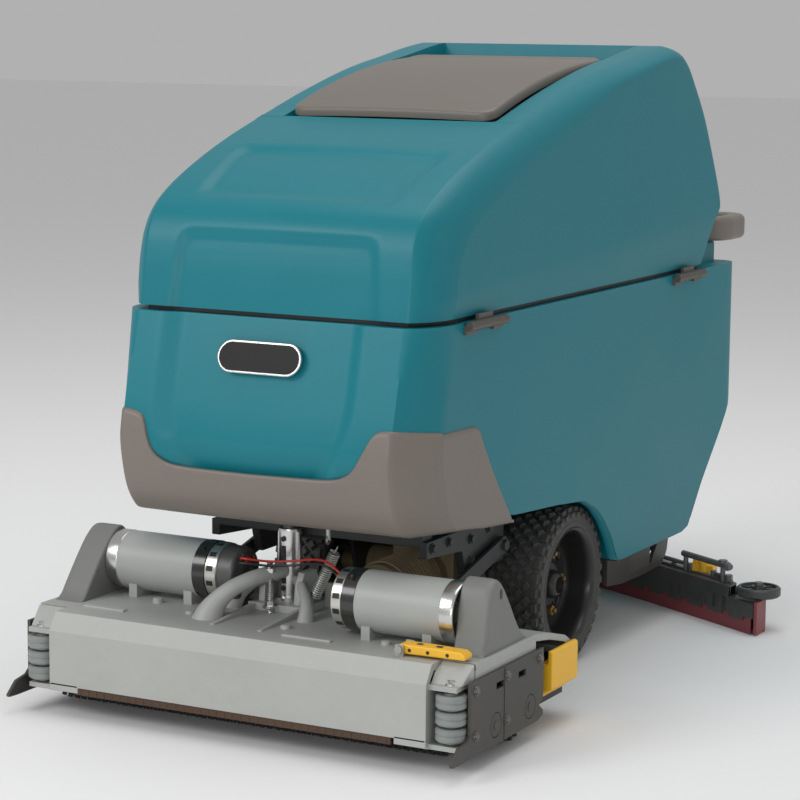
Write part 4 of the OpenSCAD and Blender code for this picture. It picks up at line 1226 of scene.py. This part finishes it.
wire_red = finish("wire_red", (0.42, 0.02, 0.015), 0.4, grain=(500, 0.05), wear=0.0)
wire_path = [(-92, -562, 254), (-86, -584, 262), (-70, -588, 263), (-40, -570, 259), (0, -560, 262),
             (40, -566, 270), (78, -584, 274), (108, -602, 266), (124, -604, 254)]
wire_piece("motor_wire_red", wire_path, 2, wire_red)
dark_path = [(-92, -534, 254), *[(x, y - 2, z - 7) for x, y, z in wire_path[1:-1]], (124, -632, 254)]
wire_piece("motor_wire_black", dark_path, 2, black_plastic)
plug = bmesh.new()
box(plug, (112, -612, 248), (126, -597, 262))
box(plug, (-92, -568, 248), (-84, -556, 260))
piece("motor_wire_plugs", plug, wire_red, "scrub_head", ["motor_wires"])

# ---------------------------------------------------------------- belts and pulleys
# A rubber belt in each tower steps the motor's speed down to the brush. It runs on a zinc-plated
# toothed pulley on the motor's shaft.
machined("drive_belts", "brush_belts", 0.5, tyre_rubber, "scrub_head")
for name, side, y in (("front", 1, FRONT_SHAFT), ("rear", -1, REAR_SHAFT)):
    wheel = bmesh.new()
    turned(wheel, [(352, 0.5), (352, 8), (365, 8), (365, 20), (366.5, 20), (367, 18), (385, 18), (385.5, 20),
                   (387, 20), (387, 12), (384, 0.5)], (0, y, MOTOR_Z), "X", 40, side)
    for k in range(20):
        tooth = round_about((y, MOTOR_Z), 17.5, math.pi * k / 10)
        rod(wheel, (side * 367.2, *tooth), (side * 384.8, *tooth), 1, 8)
    piece(name + "_motor_pulley", wheel, zinc, name + "_pulley", [name + "_pulley"])

# ---------------------------------------------------------------- scrub brushes
# A black core set with staggered rings of nylon tufts, each ring turned on a little from the last; the tufts
# are coloured near black as painted shade, for the shadow under the head that hides them. The driven end
# carries the belt pulley and the other end turns on a stub in the side plate.
# Tufts coloured near black: painted shade for the shadow under the head, where the brushes hide.
bristle_painted_shade = finish("bristle", (0.035, 0.035, 0.04), 0.6, grain=(900, 0.4), mottle=(20, 0.2), wear=0.0)
for name, side, y in (("front", 1, FRONT_BRUSH), ("rear", -1, REAR_BRUSH)):
    core = bmesh.new()
    turned(core, [(-398, 0.5), (-398, 15), (-388, 17), (-388, 40), (340, 40), (340, 14), (361, 14), (361, 27),
                  (391, 27), (391, 0.5)], (0, y, BRUSH_Z), "X", 48, side)
    piece(name + "_brush_core", core, black_plastic, name + "_brush", [name + "_brush"])
    tufts = bmesh.new()
    for row in range(46):
        x = -380 + row * 15.8
        for k in range(20):
            a = 2 * math.pi * (k + 0.5 * (row % 2)) / 20 + row * 0.12
            foot = round_about((y, BRUSH_Z), 39, a)
            tip = round_about((y, BRUSH_Z), 60.8, a)
            rod(tufts, (side * x, *foot), (side * x, *tip), 2.6, 5, 4.4)
    piece(name + "_brush_tufts", tufts, bristle_painted_shade, name + "_brush", [name + "_brush"], sharp=80)

# ---------------------------------------------------------------- lift links
# Two flat steel links between the chassis rails and the deck swing as the head rises and falls; a
# nut on each rail's pin holds them.
machined("lift_links", "lift_links_plate", 0.8, powder, "lift_links")
link_pins = bmesh.new()
for side in (-1, 1):
    rod(link_pins, (side * 222, -215, 250), (side * 228, -215, 250), 10, 6)
piece("lift_link_nuts", link_pins, powder, "chassis", [])

# ---------------------------------------------------------------- latch lever
# Yellow nylon lever on a plated cross pin. Its two wells on top and three blind holes in its front edge are
# thin black
# patches: painted shade in place of the hollows.
yellow = finish("yellow_nylon", (0.95, 0.52, 0.03), 0.4, grain=(500, 0.15), mottle=(8, 0.06), wear=0.2)
lever = bmesh.new()
outline = [(286, 175), (396, 176.5), (396, 184), (388, 189), (330, 190.5), (292, 190.5), (285, 190.9)]
outline += [(279, 188), (277.4, 183), (279, 178)]
join_loops(lever, [[lever.verts.new((x, y, z)) for x, z in outline] for y in (-714, -686)])
lever_piece = piece("head_latch_lever", lever, yellow, "head_latch", ["head_latch"])
soften(lever_piece, 3)
# Thin black patches for the wells and blind holes: painted shade where the lever is hollowed.
lever_hollow_shade = bmesh.new()
for x in (312, 346):
    box(lever_hollow_shade, (x - 5, -704, 190), (x + 5, -696, 190.9))
for x in (300, 332, 366):
    rod(lever_hollow_shade, (x, -714.3, 182), (x, -713.4, 182), 3, 20)
piece("head_latch_hollow_shade", lever_hollow_shade, black_plastic, "head_latch", ["head_latch"])
latch_pin = bmesh.new()
rod(latch_pin, (285, -720, 183), (285, -680, 183), 3.9, 20)
rod(latch_pin, (285, -724, 183), (285, -720, 183), 6.5, 20)
piece("head_latch_pin", latch_pin, zinc, "scrub_head", [])

# ---------------------------------------------------------------- debris tray
# A black tray under the rear of the head catches what the brushes throw; it pulls out by a
# yellow grip with a finger hollow.
machined("debris_tray", "debris_tray_box", 0.8, black_plastic, "debris_tray")
grip = bmesh.new()
profile = [(393, 112), (410.6, 112), (411, 134.5), (417, 134.5), (420, 131), (420, 72)]
profile += [(420 - 26 * math.sin(t), 40 + 26 * math.cos(t) + 2) for t in (0.15, 0.45, 0.75, 1.05)]
profile += [(393, 50)]
join_loops(grip, [[grip.verts.new((x, y, z)) for x, z in profile] for y in (-440, -339)])
grip_piece = piece("tray_grip", grip, yellow, "debris_tray", ["tray_handle"])
soften(grip_piece, 4)

# ---------------------------------------------------------------- corner rollers
# Three grey nylon rollers on a bolt at each front corner keep the head off the wall. The bolt's
# plated head stands on the corner of the deck.
roller_grey = finish("roller_nylon", (0.24, 0.26, 0.25), 0.45, grain=(500, 0.2), mottle=(8, 0.08), wear=0.3)
roller = [(0, 6.1), (0, 22), (3, 25), (9, 25), (11, 23.6), (13, 25), (19, 25), (22, 22), (22, 12), (21, 9),
          (21, 6.1)]
for side, name in ((1, "left"), (-1, "right")):
    x, y = side * 383, -731
    rollers = bmesh.new()
    for z in (54, 80, 106):
        turned(rollers, roller, (x, y, z), "Z", 48)
    turned(rollers, [(50, 6.1), (50, 11), (130, 11), (130, 6.1)], (x, y, 0), "Z", 32)
    own = name + "_rollers"
    piece(name + "_roller_stack", rollers, roller_grey, own, [own])
    caps = bmesh.new()
    rod(caps, (x, y, 142), (x, y, 145), 11, 28, 10)
    rod(caps, (x, y, 145), (x, y, 150), 7, 6)
    piece(name + "_roller_bolt", caps, zinc, "scrub_head", [])

# ---------------------------------------------------------------- squeegee
# A swept steel channel between two red gum-rubber blades, hung from a swivel on a lifting arm. A
# yellow cam lever clamps the rear blade, and a guide wheel at each tip keeps it off the wall.


def blade_y(x):
    """Rear line of the squeegee blade."""
    return 642 - 0.585 * (math.sqrt(x * x + 3600) - 60)


def swept_bar(shape, section, half, steps=48):
    """A bar with a closed section of (in front of the blade line, height) points, swept across."""
    loops = []
    for k in range(steps + 1):
        x = half * (2 * k / steps - 1)
        loops.append([shape.verts.new((x, blade_y(x) - back, z)) for back, z in section])
    join_loops(shape, loops)


channel = bmesh.new()
swept_bar(channel, [(7.5, 30), (7.5, 80), (41, 80), (41, 30), (38, 30), (38, 77), (10.5, 77), (10.5, 30)],
          412)
swept_bar(channel, [(7.5, 30), (7.5, 58), (41, 58), (41, 30), (38, 30), (38, 55), (10.5, 55), (10.5, 30)],
          478)
swept_bar(channel, [(5.8, 56), (5.8, 61), (8, 61), (8, 56)], 476)
# retainer band in front of the front blade, with its drain notches between the teeth
swept_bar(channel, [(48.8, 32), (48.8, 81), (51.4, 81), (51.4, 32)], 412)
swept_bar(channel, [(40, 78.5), (40, 81), (50, 81), (50, 78.5)], 412)
swept_bar(channel, [(48.8, 32), (48.8, 60.4), (51.4, 60.4), (51.4, 32)], 476)
swept_bar(channel, [(40, 58), (40, 60.4), (50, 60.4), (50, 58)], 476)
for k in range(-8, 9):
    x = k * 54
    lean = Matrix.Rotation(math.atan2(blade_y(x + 1) - blade_y(x - 1), 2), 4, "Z")
    bmesh.ops.transform(channel, verts=box(channel, (-22, -1.3, 24), (22, 1.3, 34)),
                        matrix=Matrix.Translation((x, blade_y(x) - 50.1, 0)) @ lean)
band_paint = finish("band_paint", (0.062, 0.064, 0.062), 0.42, metal=0.3, grain=(500, 0.2), wear=0.5)
piece("squeegee_channel", channel, band_paint, "squeegee", ["squeegee_frame"])

grey_steel = finish("grey_steel", (0.16, 0.16, 0.155), 0.4, metal=0.4, grain=(500, 0.2), mottle=(9, 0.15),
                    wear=0.4)
strap = bmesh.new()
swept_bar(strap, [(8.5, 80), (8.5, 83), (24, 83), (24, 80)], 404)
for k in range(-6, 7):
    x = k * 62
    rod(strap, (x, blade_y(x) - 16, 82), (x, blade_y(x) - 16, 85.6), 5.5, 6)
    rod(strap, (x, blade_y(x) - 16, 85), (x, blade_y(x) - 16, 89), 3, 14)
piece("squeegee_strap", strap, grey_steel, "squeegee", ["squeegee_frame"])

GUIDE = (466, 401)     # x and y of the guide wheels' pins
turret = bmesh.new()
turned(turret, [(84, 0.5), (84, 24), (90.5, 24), (90.5, 9.9), (102.6, 9.9), (102.6, 18), (107, 18), (108, 16),
                 (108, 10), (116, 9), (116, 0.5)], (0, 598, 0), "Z", 40)
for side in (-1, 1):
    box(turret, (side * 446, 372, 57), (side * 472, 386, 64))
    box(turret, (side * 440, 370, 63), (side * 480, 412, 65.5))
    x, y = side * GUIDE[0], GUIDE[1]
    rod(turret, (x, y, 64), (x, y, 88), 5.9, 24)
    rod(turret, (x, y, 86), (x, y, 92), 9, 6)
    # suction port half way along each arm of the channel, and the hose cuff in the middle
    rod(turret, (side * 92, 618, 80), (side * 92, 618, 92), 15, 32)
box(turret, (-120, 608, 79), (120, 630, 84))
piece("squeegee_swivel_post", turret, grey_steel, "squeegee", ["squeegee_frame"])

gum = rubber_finish("red_rubber", (0.24, 0.045, 0.055), 0.42, 0.15)
blades = bmesh.new()
swept_bar(blades, [(0, 0), (0, 62), (5.5, 62), (5.5, 0)], 484)
swept_bar(blades, [(43, 0), (43, 58), (48.5, 58), (48.5, 0)], 470)
for side in (-1, 1):
    box(blades, (side * 478.5, blade_y(484) - 49, 3), (side * 484.6, blade_y(484) + 0.6, 64))
piece("squeegee_gum_blades", blades, gum, "squeegee", ["squeegee_blades"])

clamp = bmesh.new()
turned(clamp, [(81, 4.2), (81, 13), (83, 14), (101, 14), (104, 12), (104, 0.5), (84.5, 0.5), (84.5, 4.2)],
       (324, 482, 0), "Z", 40)
box(clamp, (302, 470, 82), (346, 494, 97))
box(clamp, (301, 476, 84), (311, 488, 104))
clamp_piece = piece("squeegee_cam_lever", clamp, yellow, "squeegee_clamp", ["squeegee_clamp"])
soften(clamp_piece, 2.5)

# tie rod and thumb knobs along the top of the frame
tie = bmesh.new()
for side in (-1, 1):
    for inner, outer, height, size in ((196, 296, 91, 4.5), (356, 396, 88, 4)):
        ends = [(side * x, blade_y(x) - 18, height) for x in (inner, outer)]
        rod(tie, *ends, size, 16)
    for x, top, size, sides in ((196, 95, 7, 20), (296, 95, 7, 20), (356, 94, 6, 20), (396, 94, 8, 6)):
        rod(tie, (side * x, blade_y(x) - 18, 80), (side * x, blade_y(x) - 18, top), size, sides)
    # grey tube over the clamp, on two posts, with a thumb screw at its outer end
    rod(tie, (side * 284, 484, 80), (side * 284, 484, 116), 5, 16)
    rod(tie, (side * 384, 424, 80), (side * 384, 424, 116), 5, 16)
    rod(tie, (side * 276, 489, 112), (side * 396, 417, 112), 6, 20)
    rod(tie, (side * 396, 417, 112), (side * 404, 412, 112), 9, 20, 6)
    rod(tie, (side * 384, 424, 116), (side * 384, 424, 122), 9, 6)
piece("squeegee_tie_rods", tie, grey_steel, "squeegee", [])

wheel_nylon = finish("guide_nylon", (0.05, 0.052, 0.052), 0.4, grain=(500, 0.2), wear=0.4)
for side, name in ((1, "left"), (-1, "right")):
    disc = bmesh.new()
    turned(disc, [(66, 6.1), (66, 14), (71, 15), (71, 33), (66, 34), (66, 39), (69, 42), (81, 42), (84, 39),
                  (84, 34), (79, 33), (79, 15), (85, 14), (85, 6.1)], (side * GUIDE[0], GUIDE[1], 0), "Z",
           56)
    for k in range(6):
        a = math.pi * k / 3
        foot = (*round_about((side * GUIDE[0], GUIDE[1]), 24, a), 75)
        bmesh.ops.transform(disc, verts=box(disc, (-11, -2, -6.5), (11, 2, 6.5)),
                            matrix=Matrix.Translation(foot) @ Matrix.Rotation(a, 4, "Z"))
    own = name + "_guide_wheel"
    piece(name + "_guide_disc", disc, wheel_nylon, own, [own])

machined("squeegee_arm", "squeegee_arm_plate", 1, powder, "squeegee_arm")
bracket_paint = finish("bracket_paint", (0.085, 0.082, 0.075), 0.44, metal=0.3, grain=(500, 0.2), wear=0.5)
machined("squeegee_bracket", "squeegee_bracket_weldment", 1, bracket_paint, "chassis")
flanges = bmesh.new()
for side in (-1, 1):
    box(flanges, (side * 236, 190, 149), (side * 262, 486, 153))
    box(flanges, (side * 236.6, 296, 101), (side * 243.4, 396, 141))
    for y in (215, 330, 450):
        rod(flanges, (side * 252, y, 152), (side * 252, y, 158), 6.5, 6)
piece("squeegee_bracket_flanges", flanges, bracket_paint, "chassis", ["squeegee_bracket"])

# ---------------------------------------------------------------- handle and console
# A round-cornered loop of taupe moulding, and a dark console with its display, key switch,
# emergency stop, speed dial and start button. The paddle under the console drives the machine.
handle_loop = machined("handle", "handle_loop", 11, taupe, "chassis")
handle_loop.modifiers["broken_edges"].segments = 5
console_skin = finish("console_skin", (0.035, 0.036, 0.038), 0.5, grain=(700, 0.35), mottle=(8, 0.08),
                      wear=0.25)
machined("console", "console_housing", 2.5, console_skin, "chassis")


def on_panel(shape, x, along, verts=None):
    """Set a shape, or some of its vertices, drawn on the XY plane down on the console's sloping face."""
    place = Matrix.Translation((x, 702 - 42 * along, 742 + 70 * along))
    bmesh.ops.transform(shape, matrix=place @ Matrix.Rotation(math.radians(-59), 4, "X"),
                        verts=verts or shape.verts)
    return shape


glass = finish("display_glass", (0.008, 0.016, 0.02), 0.12, grain=(400, 0.0), wear=0.0, coat=0.8)
screen = on_panel(slab(even(-61, 61, 2, 20, 6), even(-25, 25, 2, 12, 6), 6, lambda x, y: 0.8, 2, 6), 0, 0.55)
piece("display_window", screen, glass, "chassis", ["display"])
bars = bmesh.new()
for k in range(5):
    box(bars, (-46 + k * 11, -12, 0.9), (-38 + k * 11, -12 + 6 + 4 * k, 1.25))
box(bars, (20, -12, 0.9), (46, -8, 1.25))
box(bars, (20, -2, 0.9), (40, 2, 1.25))
on_panel(bars, 0, 0.55)
bar_glow = finish("display_bars", (0.2, 0.55, 0.5), 0.4, grain=(400, 0.0), wear=0.0)
piece("display_segments", bars, bar_glow, "chassis", ["display"])

button_red = finish("button_red", (0.5, 0.02, 0.02), 0.3, grain=(500, 0.05), wear=0.1, coat=0.4)
stop = bmesh.new()
turned(stop, [(-12, 0.5), (-12, 10.8), (8, 10.8), (8, 16), (9.5, 18), (16, 18), (19, 15), (20, 9), (20, 0.5)],
        (0, 0, 0), "Z", 40)
piece("emergency_stop_mushroom", on_panel(stop, -120, 0.55), button_red, "emergency_stop", ["emergency_stop"])
ring = bmesh.new()
turned(ring, [(0.1, 11.2), (0.1, 24), (1.6, 23), (2.2, 12), (2.2, 11.2)], (0, 0, 0), "Z", 40)
piece("emergency_stop_ring", on_panel(ring, -120, 0.55), yellow, "chassis", [])

key = bmesh.new()
turned(key, [(-16, 0.5), (-16, 8.8), (0.5, 8.8), (2, 8.8), (3, 8), (3, 0.5)], (0, 0, 0), "Z", 32)
box(key, (-1.2, -4, 3), (1.2, 4, 12))
turned(key, [(-1.2, 0.5), (-1.2, 8), (1.2, 8), (1.2, 0.5)], (0, 0, 18), "X", 28)
piece("ignition_key", on_panel(key, 120, 0.7), bright, "key_switch", ["key_switch"])

dial = bmesh.new()
turned(dial, [(-16, 0.5), (-16, 7.8), (4, 7.8), (4, 15.5), (6, 16), (13, 14.6), (16, 12.5), (16, 0.5)],
       (0, 0, 0), "Z", 40)
for k in range(16):
    a = math.pi * k / 8
    rod(dial, (14.8 * math.cos(a), 14.8 * math.sin(a), 5), (13.6 * math.cos(a), 13.6 * math.sin(a), 14), 1.2,
        8)
piece("speed_dial_knob", on_panel(dial, 120, 0.25), black_plastic, "speed_dial", ["speed_dial"])
mark = bmesh.new()
box(mark, (-0.9, 3, 15.9), (0.9, 12, 16.5))
pale = finish("marking_white", (0.75, 0.75, 0.73), 0.5, grain=(500, 0.0), wear=0.0)
piece("speed_dial_mark", on_panel(mark, 120, 0.25), pale, "speed_dial", ["speed_dial"])

green = finish("button_green", (0.03, 0.3, 0.08), 0.32, grain=(500, 0.05), wear=0.1, coat=0.3)
button = bmesh.new()
turned(button, [(-12, 0.5), (-12, 5.9), (4.6, 5.9), (6, 4.8), (6, 0.5)], (0, 0, 0), "Z", 32)
piece("start_button_cap", on_panel(button, -150, 0.2), green, "start_button", ["start_button"])
collar = bmesh.new()
turned(collar, [(0.1, 6.3), (0.1, 10), (2, 9), (2, 6.3)], (0, 0, 0), "Z", 32)
piece("start_button_collar", on_panel(collar, -150, 0.2), bright, "chassis", [])
panel_screws = bmesh.new()
for x, along in ((-170, 0.9), (170, 0.9), (170, 0.1), (-90, 0.1), (90, 0.1)):
    head = turned(panel_screws, [(0.1, 0.4), (0.1, 4), (1.4, 3.4), (1.8, 0.4)], (0, 0, 0), "Z", 20)
    on_panel(panel_screws, x, along, head)
piece("console_screws", panel_screws, zinc, "chassis", [])

machined("drive_paddle", "drive_paddle_bar", 1.2, black_plastic, "drive_paddle", angle=50)

# ---------------------------------------------------------------- inside the recovery tank
# The vacuum fan in its black housing, the steel cage of the shut-off float with its ball, and the
# lid's foam seal. The first two are screwed to the roof of the tank.
machined("vacuum_fan", "vacuum_fan_housing", 3, black_plastic, "recovery_tank", angle=50)
machined("float_cage", "float_cage_tube", 0.5, bright, "recovery_tank", angle=50)
ball = bmesh.new()
bmesh.ops.create_uvsphere(ball, u_segments=24, v_segments=16, radius=19)
bmesh.ops.translate(ball, verts=ball.verts, vec=(-180, 60, 905))
piece("float_ball", ball, pale, "recovery_tank", ["float_cage"])
machined("lid_seal", "lid_seal_foam", 2, black_plastic, "lid")
